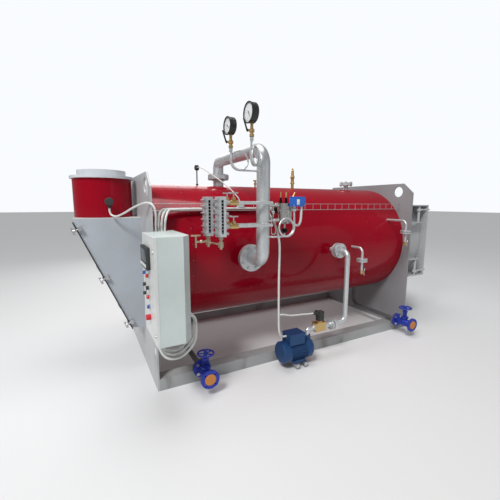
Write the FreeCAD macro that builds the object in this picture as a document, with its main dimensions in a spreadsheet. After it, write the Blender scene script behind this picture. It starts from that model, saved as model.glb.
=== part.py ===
"""Packaged horizontal shell boiler on a welded skid, as a parametric FreeCAD document.

Frame: X runs along the boiler from the flue end plate (x = 0) to the burner end, Y across it
(the valve and cabinet side is -Y), Z up from the floor. All lengths are in millimetres.
"""
import FreeCAD, Part
import math
import os

import Sketcher
from FreeCAD import Placement, Rotation, Vector

X_AXIS = Vector(1, 0, 0)
Y_AXIS = Vector(0, 1, 0)
Z_AXIS = Vector(0, 0, 1)

DIMENSIONS = {
    # skid
    "frame_length": 2980,
    "frame_width": 1470,
    "frame_height": 1740,
    "plate_thickness": 15,
    "corner_width": 130,
    "corner_height": 115,
    "lift_offset": 539,
    "lift_height": 1642,
    "lift_radius": 61,
    "beam_height": 100,
    "beam_width": 118,
    "beam_wall": 6,
    # pressure shell
    "shell_radius": 650,
    "shell_height": 1030,
    "shell_wall": 10,
    "furnace_radius": 280,
    "furnace_height": 960,
    "furnace_length": 2450,
    "furnace_wall": 10,
    # smokebox and flue
    "smokebox_depth": 515,
    "smokebox_width": 540,
    "smokebox_top": 1380,
    "smokebox_lip": 35,
    "smokebox_toe_depth": 115,
    "smokebox_toe_height": 395,
    "smokebox_sheet": 4,
    "cover_thickness": 8,
    "cover_overlap": 14,
    "chimney_centre": 272,
    "chimney_radius": 239,
    "chimney_height": 328,
    "chimney_wall": 5,
    "flue_radius": 190,
    "flue_flange_radius": 258,
    "flue_flange_thickness": 22,
    "collar_radius": 199,
    "collar_height": 50,
    # steam column
    "column_position": 837,
    "column_reach": 946,
    "column_radius": 54,
    "column_wall": 6,
    "column_top": 1927,
    "column_bend": 125,
    "side_flange_radius": 118,
    "side_flange_face": 747,
    "top_flange_radius": 110,
    "top_flange_face": 1770,
    "column_flange_thickness": 20,
    # level gauges
    "gauge_width": 58,
    "gauge_depth": 76,
    "front_gauge_position": 440,
    "front_gauge_reach": 1022,
    "rear_gauge_position": 385,
    "rear_gauge_reach": 905,
    "gauge_top": 1549,
    "gauge_length": 290,
    "gauge_upper": 1505,
    "gauge_lower": 1332,
    "gauge_valve_position": 543,
    "gauge_pipe_radius": 13,
    # electrode chamber
    "chamber_position": 1045,
    "chamber_radius": 62,
    "chamber_bottom": 1348,
    "chamber_height": 155,
    # control cabinet
    "cabinet_width": 440,
    "cabinet_depth": 228,
    "cabinet_height": 722,
    "cabinet_bottom": 568,
    "cabinet_front": 49,
    "cabinet_sheet": 3,
    "cabinet_chamfer_depth": 61,
    "cabinet_chamfer_width": 83,
    "door_thickness": 18,
    "duct_depth": 85,
    # feed pump and line
    "pump_position": 1059,
    "pump_reach": 888,
    "pump_height": 157,
    "pump_radius": 100,
    "pump_length": 250,
    "feed_position": 1835,
    "feed_radius": 24,
    "feed_line_height": 326,
    # blowdown
    "drain_left": 348,
    "drain_right": 2755,
    "drain_drop": 110,
    "drain_height": 150,
    "drain_radius": 24,
    "drain_face": 795,
    "valve_length": 210,
    "valve_flange_radius": 75,
    "valve_flange_thickness": 18,
    "fitted_hole": 17,
    "wheel_height": 322,
    "wheel_radius": 70,
    # burner end
    "burner_height": 1054,
    "burner_box_width": 1442,
    "burner_box_height": 866,
    "burner_box_depth": 298,
    "burner_plate": 12,
    "burner_door_gap": 6,
    "burner_door_thickness": 16,
    "burner_port_radius": 130,
    "hinge_position": 170,
    "hinge_reach": 700,
    "hinge_pin_radius": 14,
    # clearances
    "running_clearance": 0.05,
    "seat_gap": 0.2,
}


class Size(float):
    """A length with the sheet expression that yields it."""

    def __new__(cls, value, text):
        size = super().__new__(cls, value)
        size.text = text
        return size

    def combined(self, other, sign, value):
        return Size(value, f"({self.text} {sign} {expression(other)})")

    def __add__(self, other):
        return self.combined(other, "+", float(self) + float(other))

    def __sub__(self, other):
        return self.combined(other, "-", float(self) - float(other))

    def __mul__(self, other):
        return self.combined(other, "*", float(self) * float(other))

    def __truediv__(self, other):
        return self.combined(other, "/", float(self) / float(other))

    def __radd__(self, other):
        return Size(float(other) + float(self), f"({expression(other)} + {self.text})")

    def __rsub__(self, other):
        return Size(float(other) - float(self), f"({expression(other)} - {self.text})")

    def __rmul__(self, other):
        return Size(float(other) * float(self), f"({expression(other)} * {self.text})")

    def __neg__(self):
        return Size(-float(self), f"(0 - {self.text})")


def expression(size):
    """The text of a size in an expression."""
    return size.text if isinstance(size, Size) else repr(float(size))


class Sheet:
    """The spreadsheet of driving dimensions, read back as attributes."""

    def __init__(self, document, dimensions):
        self.cells = document.addObject("Spreadsheet::Sheet", "Dims")
        for row, (alias, number) in enumerate(dimensions.items(), 1):
            self.cells.set(f"A{row}", alias)
            self.cells.set(f"B{row}", str(number))
            self.cells.setAlias(f"B{row}", alias)
        document.recompute()

    def __getattr__(self, alias):
        return Size(float(self.cells.get(alias)), f"Dims.{alias}")


doc = FreeCAD.newDocument("Boiler")
d = Sheet(doc, DIMENSIONS)
parts = []


# ---------------------------------------------------------------- document objects

def bind(target, **sizes):
    """Set properties to sizes and tie them to the sheet."""
    for name, size in sizes.items():
        setattr(target, name, float(size))
        if isinstance(size, Size):
            target.setExpression(name, size.text)


def place(target, position, rotation=None):
    """Place an object and tie its position to the sheet."""
    target.Placement = Placement(Vector(*[float(v) for v in position]), rotation or Rotation())
    for axis, size in zip("xyz", position):
        if isinstance(size, Size):
            target.setExpression(f"Placement.Base.{axis}", size.text)


def keep(target, label):
    """Mark a document object as a sub-part."""
    target.Label = label
    parts.append(target)
    return target


def feature(label, *shapes):
    """A sub-part whose shape comes from Part's own functions."""
    target = doc.addObject("Part::Feature", label)
    target.Shape = shapes[0] if len(shapes) == 1 else Part.makeCompound(list(shapes))
    target.Placement = Placement()
    return keep(target, label)


def origin_plane(body, role):
    return next(item for item in body.Origin.OriginFeatures if item.Role == role)


def sketch_on(body, role, name, height=0.0):
    """A sketch on one of the body's origin planes, raised by a height along its normal."""
    sketch = body.newObject("Sketcher::SketchObject", name)
    sketch.AttachmentSupport = (origin_plane(body, role), [""])
    sketch.MapMode = "FlatFace"
    sketch.AttachmentOffset = Placement(Vector(0, 0, float(height)), Rotation())
    if isinstance(height, Size):
        sketch.setExpression("AttachmentOffset.Base.z", height.text)
    return sketch


def fix_point(sketch, geometry, point, position):
    """Tie one sketch point to two sizes measured from the sketch origin."""
    for kind, axis, size in (("DistanceX", -2, position[0]), ("DistanceY", -1, position[1])):
        if float(size) == 0.0 and not isinstance(size, Size):
            sketch.addConstraint(Sketcher.Constraint("PointOnObject", geometry, point, axis))
            continue
        constraint = Sketcher.Constraint(kind, -1, 1, geometry, point, float(size))
        index = sketch.addConstraint(constraint)
        if isinstance(size, Size):
            sketch.setExpression(f"Constraints[{index}]", size.text)


def polygon(sketch, corners):
    """A closed outline whose corners are tied to the sheet."""
    first = sketch.GeometryCount
    points = [Vector(float(x), float(y), 0) for x, y in corners]
    for start, end in zip(points, points[1:] + points[:1]):
        sketch.addGeometry(Part.LineSegment(start, end), False)
    count = len(corners)
    for step in range(count):
        following = first + (step + 1) % count
        sketch.addConstraint(Sketcher.Constraint("Coincident", first + step, 2, following, 1))
    for step, corner in enumerate(corners):
        fix_point(sketch, first + step, 1, corner)


def circle(sketch, centre, radius):
    """A circle tied to the sheet."""
    middle = Vector(float(centre[0]), float(centre[1]), 0)
    index = sketch.addGeometry(Part.Circle(middle, Z_AXIS, float(radius)), False)
    fix_point(sketch, index, 3, centre)
    constraint = sketch.addConstraint(Sketcher.Constraint("Radius", index, float(radius)))
    if isinstance(radius, Size):
        sketch.setExpression(f"Constraints[{constraint}]", radius.text)


def plate_body(label, role, start, thickness, corners=None, circles=()):
    """A body padded from a flat outline; start and thickness run along the world axis."""
    body = doc.addObject("PartDesign::Body", label)
    height = -(start + thickness) if role == "XZ_Plane" else start
    sketch = sketch_on(body, role, f"{label}_outline", height)
    if corners:
        polygon(sketch, corners)
    for centre, radius in circles:
        circle(sketch, centre, radius)
    pad = body.newObject("PartDesign::Pad", f"{label}_pad")
    pad.Profile = sketch
    bind(pad, Length=thickness)
    doc.recompute()
    return keep(body, label)


def pocket(body, role, height, depth, corners=None, circles=(), name="pocket"):
    """Cut a straight pocket from a raised origin plane, against its normal."""
    before = body.Shape.Volume
    sketch = sketch_on(body, role, f"{body.Name}_{name}_outline", height)
    if corners:
        polygon(sketch, corners)
    for centre, radius in circles:
        circle(sketch, centre, radius)
    cut = body.newObject("PartDesign::Pocket", f"{body.Name}_{name}")
    cut.Profile = sketch
    bind(cut, Length=depth)
    doc.recompute()
    if not body.Shape.Volume < before - 1.0:
        raise RuntimeError(f"{name} of {body.Label} cuts nothing")


def turned_body(label, profile, position, direction=Z_AXIS):
    """A body revolved from (radius, height) corners about an axis through a position."""
    body = doc.addObject("PartDesign::Body", label)
    sketch = sketch_on(body, "XZ_Plane", f"{label}_profile")
    polygon(sketch, profile)
    turn = body.newObject("PartDesign::Revolution", f"{label}_turn")
    turn.Profile = sketch
    turn.ReferenceAxis = (sketch, ["V_Axis"])
    turn.Angle = 360.0
    place(body, position, Rotation(Z_AXIS, direction))
    doc.recompute()
    return keep(body, label)


# ---------------------------------------------------------------- shapes

def vec(x, y, z):
    return Vector(float(x), float(y), float(z))


def rod(start, end, radius):
    return Part.makeCylinder(float(radius), (end - start).Length, start, end - start)


def ring(centre, direction, outer, inner, length):
    """A flat-ended sleeve that starts at its centre and runs along a direction."""
    solid = Part.makeCylinder(float(outer), float(length), centre, direction)
    return solid.cut(Part.makeCylinder(float(inner), float(length), centre, direction))


def turned(profile, base, direction=Z_AXIS):
    """A solid of revolution from (radius, height) corners."""
    points = [Vector(float(r), 0, float(h)) for r, h in profile]
    outline = Part.makePolygon(points + points[:1])
    solid = Part.Face(outline).revolve(Vector(), Z_AXIS, 360)
    solid.Placement = Placement(base, Rotation(Z_AXIS, direction))
    return solid


def box(low, high):
    size = high - low
    return Part.makeBox(size.x, size.y, size.z, low)


def hexagon(base, direction, across, length):
    """A hexagonal prism, as a nut or a bolt head."""
    radius = across / math.sqrt(3)
    angles = [math.radians(60 * step) for step in range(6)]
    points = [Vector(radius * math.cos(a), radius * math.sin(a), 0) for a in angles]
    prism = Part.Face(Part.makePolygon(points + points[:1])).extrude(Vector(0, 0, length))
    prism.Placement = Placement(base, Rotation(Z_AXIS, direction))
    return prism


def fused(*shapes):
    """One solid from touching or crossing shapes."""
    solid = shapes[0]
    for shape in shapes[1:]:
        solid = solid.fuse(shape)
    return solid.removeSplitter()


def around(centre, direction, radius, count, phase=0.5):
    """Points evenly spaced on a circle, half a step off its first axis."""
    turn = Rotation(Z_AXIS, direction)
    points = []
    for step in range(count):
        angle = 2 * math.pi * (step + phase) / count
        points.append(centre + turn.multVec(Vector(radius * math.cos(angle), radius * math.sin(angle), 0)))
    return points


def stud_bolts(centre, direction, radius, count, stack, size):
    """Through bolts with a head and a nut against the two faces of a flange stack."""
    shapes = []
    for point in around(centre, direction, radius, count):
        foot = point - direction * (size * 0.7)
        shank = rod(foot, point + direction * (stack + size * 0.68), size / 2)
        head = hexagon(foot, direction, size * 1.5, size * 0.7)
        nut = hexagon(point + direction * stack, direction, size * 1.5, size * 0.62)
        shapes.append(fused(shank, head, nut))
    return shapes


def flange(centre, direction, outer, inner, thickness, pcd, count, hole):
    """A pipe flange with bolt holes, from its centre along a direction."""
    solid = ring(centre, direction, outer, inner, thickness)
    for point in around(centre, direction, pcd / 2, count):
        solid = solid.cut(Part.makeCylinder(hole / 2, float(thickness), point, direction))
    return solid


def bend_radius(before, corner, after, largest):
    """The arc radius that the two runs beside a corner allow."""
    arriving = corner - before
    leaving = after - corner
    turn = arriving.getAngle(leaving)
    fitting = 0.45 * min(arriving.Length, leaving.Length) / math.tan(turn / 2)
    return min(fitting, largest)


def route(points, largest=math.inf, report=None):
    """A wire of straight runs joined by tangent arcs."""
    edges = []
    radii = []
    start = points[0]
    for before, corner, after in zip(points, points[1:], points[2:]):
        arriving = (corner - before).normalize()
        leaving = (after - corner).normalize()
        turn = arriving.getAngle(leaving)
        radius = bend_radius(before, corner, after, largest)
        setback = radius * math.tan(turn / 2)
        first = corner - arriving * setback
        last = corner + leaving * setback
        inward = (leaving - arriving).normalize()
        middle = corner + inward * (radius / math.cos(turn / 2) - radius)
        edges.append(Part.LineSegment(start, first).toShape())
        edges.append(Part.Arc(first, middle, last).toShape())
        radii.append(radius)
        start = last
    edges.append(Part.LineSegment(start, points[-1]).toShape())
    if report:
        print(report, "bend radii", [round(radius) for radius in radii])
    return Part.Wire(edges)


def swept(wire, radius):
    """A solid round bar along a route, checked against its section and length."""
    start = wire.Vertexes[0].Point
    direction = wire.Edges[0].tangentAt(wire.Edges[0].FirstParameter)
    section = Part.Wire(Part.Circle(start, direction, float(radius)).toShape())
    bar = wire.makePipeShell([section], True, False)
    expected = math.pi * float(radius) ** 2 * wire.Length
    if abs(bar.Volume - expected) > 0.01 * expected:
        raise RuntimeError(f"swept bar has volume {bar.Volume:.0f}, not {expected:.0f}")
    return bar


def pipe(points, radius, bend):
    """A bar along points with one bend radius where the runs allow it."""
    return swept(route(points, bend), radius)


def cord(label, points, radius):
    """A flexible conduit, bent as gently as its runs allow."""
    return swept(route(points, report=label), radius)


def shell_surface(gap):
    """The outer cylinder of the pressure shell, as a cutting tool."""
    base = vec(0, 0, d.shell_height)
    return Part.makeCylinder(d.shell_radius + gap, float(d.frame_length), base, X_AXIS)


def off_shell(shape):
    """Trim a fitting to seat on the shell."""
    return shape.cut(shell_surface(d.seat_gap))


def column_surface():
    """The vertical run of the steam column, as a cutting tool."""
    base = vec(d.column_position, -d.column_reach, d.shell_height)
    height = float(d.column_top - d.shell_height)
    return Part.makeCylinder(d.column_radius + d.seat_gap, height, base, Z_AXIS)


def off_column(shape):
    """Trim a fitting to seat on the steam column."""
    return shape.cut(column_surface())


# ---------------------------------------------------------------- skid

def end_plate(label, start, holes):
    half = d.frame_width / 2
    shoulder = half - d.corner_width
    eave = d.frame_height - d.corner_height
    corners = [
        (-half, 0), (half, 0), (half, eave), (shoulder, d.frame_height),
        (-shoulder, d.frame_height), (-half, eave),
    ]
    lifting = [((d.lift_offset, d.lift_height), d.lift_radius)]
    lifting.append(((-d.lift_offset, d.lift_height), d.lift_radius))
    return plate_body(label, "YZ_Plane", start, d.plate_thickness, corners, lifting + holes)


def skid_beam(label, outer_edge, inward):
    """A hollow box beam between the end plates."""
    far = outer_edge + d.beam_width * inward
    low, high = (outer_edge, far) if inward > 0 else (far, outer_edge)
    length = d.frame_length - d.plate_thickness * 2
    corners = [(low, 0), (high, 0), (high, d.beam_height), (low, d.beam_height)]
    body = plate_body(label, "YZ_Plane", d.plate_thickness, length, corners)
    inner_low = low + d.beam_wall
    inner_high = high - d.beam_wall
    hollow = [
        (inner_low, d.beam_wall), (inner_high, d.beam_wall),
        (inner_high, d.beam_height - d.beam_wall), (inner_low, d.beam_height - d.beam_wall),
    ]
    pocket(body, "YZ_Plane", d.plate_thickness + length, length, hollow, name="hollow")


end_plate("left_end_plate", 0.0, [])
furnace_hole = ((0, d.furnace_height), d.furnace_radius - d.furnace_wall)
end_plate("right_end_plate", d.frame_length - d.plate_thickness, [furnace_hole])
skid_beam("front_skid_beam", -(d.frame_width / 2), 1)
skid_beam("rear_skid_beam", d.frame_width / 2, -1)


# ---------------------------------------------------------------- pressure shell

def tube_object(label, outer, wall, start, length, height):
    """A sleeve along X, as the difference of two bound cylinders."""
    sleeves = []
    for name, radius in (("outer", outer), ("inner", outer - wall)):
        solid = doc.addObject("Part::Cylinder", f"{label}_{name}")
        bind(solid, Radius=radius, Height=length)
        place(solid, (start, 0, height), Rotation(Z_AXIS, X_AXIS))
        sleeves.append(solid)
    tube = doc.addObject("Part::Cut", label)
    tube.Base, tube.Tool = sleeves
    doc.recompute()
    return keep(tube, label)


shell_length = d.frame_length - d.plate_thickness * 2
tube_object("shell_jacket", d.shell_radius, d.shell_wall, d.plate_thickness, shell_length, d.shell_height)
furnace_start = d.frame_length - d.plate_thickness - d.furnace_length
tube_object("furnace_tube", d.furnace_radius, d.furnace_wall, furnace_start, d.furnace_length,
            d.furnace_height)


# ---------------------------------------------------------------- smokebox and flue

slope_top = vec(-d.smokebox_depth, 0, d.smokebox_top - d.smokebox_lip)
slope_foot = vec(-d.smokebox_toe_depth, 0, d.smokebox_toe_height)
slope_down = (slope_foot - slope_top).normalize()
slope_out = slope_down.cross(Y_AXIS)
if slope_out.x > 0:
    slope_out = -slope_out


def on_slope(down, across, out):
    """A point given along, across and off the sloping face of the smokebox."""
    return slope_top + slope_down * float(down) + Y_AXIS * float(across) + slope_out * float(out)


def slope_block(down, across, out):
    """A block between two depths on the sloping face."""
    corners = [(down[0], out[0]), (down[1], out[0]), (down[1], out[1]), (down[0], out[1])]
    points = [on_slope(u, across[0], n) for u, n in corners]
    face = Part.Face(Part.makePolygon(points + points[:1]))
    return face.extrude(Y_AXIS * float(across[1] - across[0]))


def smokebox():
    half = d.smokebox_width / 2
    lip_foot = d.smokebox_top - d.smokebox_lip
    base = d.smokebox_toe_height - 10
    outline = [
        (0, base), (0, d.smokebox_top), (-d.smokebox_depth, d.smokebox_top),
        (-d.smokebox_depth, lip_foot), (-d.smokebox_toe_depth, d.smokebox_toe_height),
    ]
    body = plate_body("smokebox", "XZ_Plane", -half, d.smokebox_width, outline)
    ceiling = d.smokebox_top - d.smokebox_sheet
    floor = d.smokebox_toe_height + d.smokebox_sheet
    lip_inside = -(d.smokebox_depth - d.smokebox_sheet)
    inside = [
        (20, floor), (20, ceiling), (lip_inside, ceiling), (lip_inside, lip_foot),
        (-(d.smokebox_depth + 80), lip_foot), (-(d.smokebox_depth + 80), floor),
    ]
    depth = d.smokebox_width - d.smokebox_sheet * 2
    sketch_height = half - d.smokebox_sheet
    pocket(body, "XZ_Plane", sketch_height, depth, inside, name="inside")
    flue = [((-d.chimney_centre, 0), d.flue_radius)]
    pocket(body, "XY_Plane", d.smokebox_top, d.smokebox_sheet, circles=flue, name="flue")


def cover_clamp(down, side):
    """A swing clamp beside the cover: block on the smokebox wall, stud, strap and wing nut."""
    wall = side * float(d.smokebox_width) / 2
    inner, outer = sorted((wall, wall + side * 34))
    block = slope_block((down - 18, down + 18), (inner, outer), (-34, -6))
    middle = wall + side * 24
    top = d.cover_thickness
    strap = slope_block((down - 13, down + 13), sorted((wall - side * 30, wall + side * 38)), (top, top + 8))
    stud = rod(on_slope(down, middle, -6), on_slope(down, middle, top), 5)
    nut = rod(on_slope(down, middle, top + 8), on_slope(down, middle, top + 26), 9)
    wings = slope_block((down - 30, down + 30), (middle - 3, middle + 3), (top + 16, top + 34))
    return fused(block, strap, stud, nut, wings)


smokebox()
slope_length = (slope_foot - slope_top).Length
cover_reach = float(d.smokebox_width / 2 + d.cover_overlap)
cover = slope_block((-6, slope_length + 8), (-cover_reach, cover_reach), (0, d.cover_thickness))
feature("smokebox_cover", cover)
clamp_places = [(down, side) for down in (60, 0.5 * slope_length, slope_length - 60) for side in (-1, 1)]
feature("cover_clamps", *[cover_clamp(down, side) for down, side in clamp_places])

chimney_top = d.smokebox_top + d.chimney_height
chimney_inner = d.chimney_radius - d.chimney_wall
turned_body("chimney_stub", [
    (chimney_inner, 0), (d.chimney_radius, 0),
    (d.chimney_radius, d.chimney_height), (chimney_inner, d.chimney_height),
], (-d.chimney_centre, 0, d.smokebox_top))
collar_inner = d.collar_radius - d.chimney_wall
rim_top = d.flue_flange_thickness + d.collar_height
turned_body("flue_collar", [
    (d.flue_radius, 0), (d.flue_flange_radius, 0), (d.flue_flange_radius, d.flue_flange_thickness),
    (d.collar_radius, d.flue_flange_thickness), (d.collar_radius, rim_top), (collar_inner, rim_top),
    (collar_inner, d.flue_flange_thickness), (d.flue_radius, d.flue_flange_thickness),
], (-d.chimney_centre, 0, chimney_top))


def flue_sensor():
    """A probe with a black terminal head on the chimney's near side."""
    wall = Part.makeCylinder(d.chimney_radius + d.seat_gap, float(d.chimney_height),
                             vec(-d.chimney_centre, 0, d.smokebox_top))
    height = 1512
    across = -248
    stem = rod(Vector(across, -225, height), Vector(across, -286, height), 8).cut(wall)
    head = turned([(0, 0), (30, 0), (33, 6), (33, 44), (28, 52), (0, 52)],
                  Vector(across, -286, height), -Y_AXIS)
    spout = rod(Vector(across, -306, height), Vector(across, -306, height - 52), 13)
    return fused(stem, head, spout)


feature("flue_sensor", flue_sensor())


# ---------------------------------------------------------------- steam column

def steam_column():
    """The main steam pipe from the side nozzle over the shell to the top nozzle."""
    thick = d.column_flange_thickness
    side_face = vec(d.column_position, -d.side_flange_face, d.shell_height)
    top_face = vec(d.column_position, 0, d.top_flange_face)
    points = [
        side_face,
        vec(d.column_position, -d.column_reach, d.shell_height),
        vec(d.column_position, -d.column_reach, d.column_top),
        vec(d.column_position, 0, d.column_top),
        top_face,
    ]
    wire = route(points, float(d.column_bend))
    outside = swept(wire, d.column_radius)
    inside = swept(wire, d.column_radius - d.column_wall)
    side = flange(side_face, -Y_AXIS, d.side_flange_radius, d.column_radius - 2, thick, 190, 8, 18)
    top = flange(top_face, Z_AXIS, d.top_flange_radius, d.column_radius - 2, thick, 180, 8, 18)
    return fused(outside, side, top).cut(inside)


def nozzle(face, inward, outer, radius, wall, thickness, reach, pcd, count, hole):
    """A flanged stub that ends on the shell; its flange face looks outward."""
    stub = ring(face, inward, radius, radius - wall, reach)
    disc = flange(face, inward, outer, radius - wall, thickness, pcd, count, hole)
    return off_shell(fused(stub, disc))


side_face = vec(d.column_position, -d.side_flange_face, d.shell_height)
top_face = vec(d.column_position, 0, d.top_flange_face)
feature("steam_column", steam_column())
nozzles = [
    nozzle(side_face, Y_AXIS, d.side_flange_radius, d.column_radius, d.column_wall,
           d.column_flange_thickness, 140, 190, 8, 18),
    nozzle(top_face, -Z_AXIS, d.top_flange_radius, d.column_radius, d.column_wall,
           d.column_flange_thickness, 120, 180, 8, 18),
]
column_stack = float(d.column_flange_thickness) * 2
bolts = stud_bolts(side_face + Y_AXIS * float(d.column_flange_thickness), -Y_AXIS, 95, 8, column_stack, 16)
bolts += stud_bolts(top_face - Z_AXIS * float(d.column_flange_thickness), Z_AXIS, 90, 8, column_stack, 16)


# ---------------------------------------------------------------- level gauges

def gauge_frame(position, reach):
    """A reflex level gauge: forged body with a sight slot and a cover."""
    low = vec(position - d.gauge_width / 2, -reach - d.gauge_depth / 2, d.gauge_top - d.gauge_length)
    high = vec(position + d.gauge_width / 2, -reach + d.gauge_depth / 2, d.gauge_top)
    body = box(low, high)
    slot = box(vec(position - 8, low.y - 1, low.z + 24), vec(position + 8, low.y + 22, high.z - 24))
    return body.cut(slot)


def gauge_pane(position, reach):
    """The glass at the back of the sight slot."""
    face = -float(reach) - float(d.gauge_depth) / 2
    low = float(d.gauge_top - d.gauge_length) + 24
    return box(vec(position - 8, face + 12, low), vec(position + 8, face + 22, d.gauge_top - 24))


def gauge_clamps(position, reach):
    """Clamp bolts that run from front to back on both sides of a level gauge."""
    shapes = []
    count = 6
    low = float(d.gauge_top - d.gauge_length)
    pitch = float(d.gauge_length) / count
    front = -float(reach) - float(d.gauge_depth) / 2
    for side in (-1, 1):
        across = float(position) + side * (float(d.gauge_width) / 2 + 6)
        for step in range(count):
            height = low + pitch * (step + 0.5)
            if side > 0 and abs(height - float(d.gauge_upper)) < 30:
                continue
            if side > 0 and abs(height - float(d.gauge_lower)) < 30:
                continue
            start = Vector(across, front - 8, height)
            shank = rod(start, Vector(across, front + float(d.gauge_depth) + 8, height), 5.9)
            nut = hexagon(start, Y_AXIS, 19, 12)
            shapes.append(fused(shank, nut).cut(
                box(vec(position - d.gauge_width / 2, front, low),
                    vec(position + d.gauge_width / 2, front + float(d.gauge_depth), d.gauge_top))))
    return shapes


def gauge_pipes():
    """Isolating pipes from each level gauge to the steam column."""
    shapes = []
    for position, reach in ((d.front_gauge_position, d.front_gauge_reach),
                            (d.rear_gauge_position, d.rear_gauge_reach)):
        start = float(position + d.gauge_width / 2)
        valve = float(d.gauge_valve_position)
        for height in (d.gauge_upper, d.gauge_lower):
            near = rod(vec(start, -reach, height), vec(valve - 34, -reach, height), d.gauge_pipe_radius)
            union = hexagon(vec(start + 8, -reach, height), X_AXIS, 38, 20)
            shapes.append(fused(near, union))
            if float(reach) < float(d.column_reach):
                far = rod(vec(valve + 34, -reach, height), vec(d.column_position, -reach, height),
                          d.gauge_pipe_radius)
                shapes.append(off_column(far))
            else:
                run = rod(vec(valve + 34, -reach, height),
                          vec(d.column_position + 40, -reach, height), d.gauge_pipe_radius)
                boss = rod(vec(d.column_position, -reach, height),
                           vec(d.column_position, -d.column_reach, height), 18)
                shapes.append(off_column(fused(run, boss)))
    return shapes


def gauge_valve(position, reach, height):
    """A brass isolating valve on a gauge pipe."""
    body = rod(vec(position - 34, -reach, height), vec(position + 34, -reach, height), 20)
    bonnet = rod(vec(position, -reach, height), vec(position, -reach, height + 40), 12)
    nut = hexagon(vec(position, -reach, height + 22), Z_AXIS, 32, 16)
    return fused(body, bonnet, nut)


def tee_handle(position, reach, height):
    """A T handle on a valve spindle."""
    spindle = rod(vec(position, -reach, height + 40 + d.seat_gap), vec(position, -reach, height + 72), 5)
    bar = rod(vec(position - 36, -reach, height + 72), vec(position + 36, -reach, height + 72), 5)
    return fused(spindle, bar)


def gauge_drain(position, reach, length):
    """A brass drain cock under a level gauge."""
    top = float(d.gauge_top - d.gauge_length)
    base = vec(position, -reach, top)
    spindle = turned([(0, 0), (11, 0), (11, 5), (17, 10), (17, 20), (11, 25), (11, length),
                      (10, length + 54), (0, length + 54)], base, -Z_AXIS)
    cock = hexagon(vec(position, -reach, top - length), -Z_AXIS, 36, 38)
    return fused(spindle, cock)


front_gauge = (d.front_gauge_position, d.front_gauge_reach)
rear_gauge = (d.rear_gauge_position, d.rear_gauge_reach)
gauge_solids = [gauge_frame(*front_gauge), gauge_frame(*rear_gauge)]
gauge_solids += [gauge_pane(*front_gauge), gauge_pane(*rear_gauge)]
feature("gauge_frames", *gauge_solids)
bolts += gauge_clamps(*front_gauge) + gauge_clamps(*rear_gauge)
feature("gauge_pipes", *gauge_pipes())
valve_places = {
    "front_upper": (d.front_gauge_reach, d.gauge_upper),
    "front_lower": (d.front_gauge_reach, d.gauge_lower),
    "rear_upper": (d.rear_gauge_reach, d.gauge_upper),
    "rear_lower": (d.rear_gauge_reach, d.gauge_lower),
}
gauge_cocks = [gauge_valve(d.gauge_valve_position, *spot) for spot in valve_places.values()]
for place_name, spot in valve_places.items():
    feature(f"gauge_handle_{place_name}", tee_handle(d.gauge_valve_position, *spot))


def drain_link():
    """The drain cocks of the two gauges and the tube and lever branch between them."""
    front = gauge_drain(*front_gauge, 40)
    rear = gauge_drain(*rear_gauge, 30)
    foot = float(d.gauge_top - d.gauge_length)
    start = vec(d.rear_gauge_position + 4, -d.rear_gauge_reach, foot - 50)
    end = vec(d.front_gauge_position - 4, -d.front_gauge_reach, foot - 60)
    link = rod(start, end, 6.5)
    branch_start = vec(d.rear_gauge_position - 12, -d.rear_gauge_reach, foot - 42)
    branch_end = branch_start - X_AXIS * 86
    branch = rod(branch_start, branch_end, 8)
    knob = Part.makeSphere(14, branch_start - X_AXIS * 44)
    lever = rod(branch_end - Z_AXIS * 44, branch_end + Z_AXIS * 46, 7)
    grip = rod(branch_end + Vector(-36, 0, 46), branch_end + Vector(36, 0, 46), 6)
    return fused(front, rear, link, branch, knob, lever, grip)


feature("gauge_drains", drain_link())


# ---------------------------------------------------------------- pressure gauges

class GaugeLine:
    """A siphon, cock and pressure gauge in one vertical plane."""

    def __init__(self, start, heading, run, ring_centre, ring_radius, cock, dial_height, dial_radius):
        self.start = start
        self.heading = heading
        self.run = run
        self.ring_centre = ring_centre
        self.ring_radius = ring_radius
        self.cock = cock
        self.dial_height = dial_height
        self.dial_radius = dial_radius
        self.foot = start + heading * run

    def siphon(self):
        """A pigtail siphon: run, full loop and riser."""
        middle = self.start + self.heading * self.ring_centre + Z_AXIS * self.ring_radius
        across = self.heading.cross(Z_AXIS)
        loop = Part.makeTorus(self.ring_radius, 7, middle, across)
        riser_top = Vector(self.foot.x, self.foot.y, self.cock)
        bar = pipe([self.start, self.foot, riser_top], 8, 40)
        return off_column(fused(bar, loop))

    def cock_body(self):
        """A brass gauge cock between siphon and gauge."""
        base = Vector(self.foot.x, self.foot.y, self.cock)
        socket = self.dial_height - self.dial_radius - self.cock
        profile = [(0, 0), (17, 0), (17, 16), (12, 20), (12, 28), (19, 32), (19, 50), (11, 56),
                   (11, socket), (0, socket)]
        hub = rod(base + Vector(0, 0, 41), base + Vector(-30, 0, 41), 7.5)
        return fused(turned(profile, base), hub)

    def lever(self):
        """The cock's lever, on its hub."""
        hub = Vector(self.foot.x - 30 - float(d.seat_gap), self.foot.y, self.cock + 41)
        disc = rod(hub, hub - X_AXIS * 8, 10)
        tip = hub + Vector(-34, 0, 78)
        arm = rod(hub - X_AXIS * 7.5, tip, 6)
        return fused(disc, arm)

    def gauge(self):
        """The gauge case with its bezel and a recessed dial, facing the flue end."""
        radius = self.dial_radius
        back = Vector(self.foot.x + 22, self.foot.y, self.dial_height)
        profile = [(0, 0), (radius - 3, 0), (radius, 4), (radius, 44), (radius + 3, 46),
                   (radius + 3, 54), (radius - 5, 54), (radius - 5, 46), (0, 46)]
        return turned(profile, back, -X_AXIS)


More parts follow.
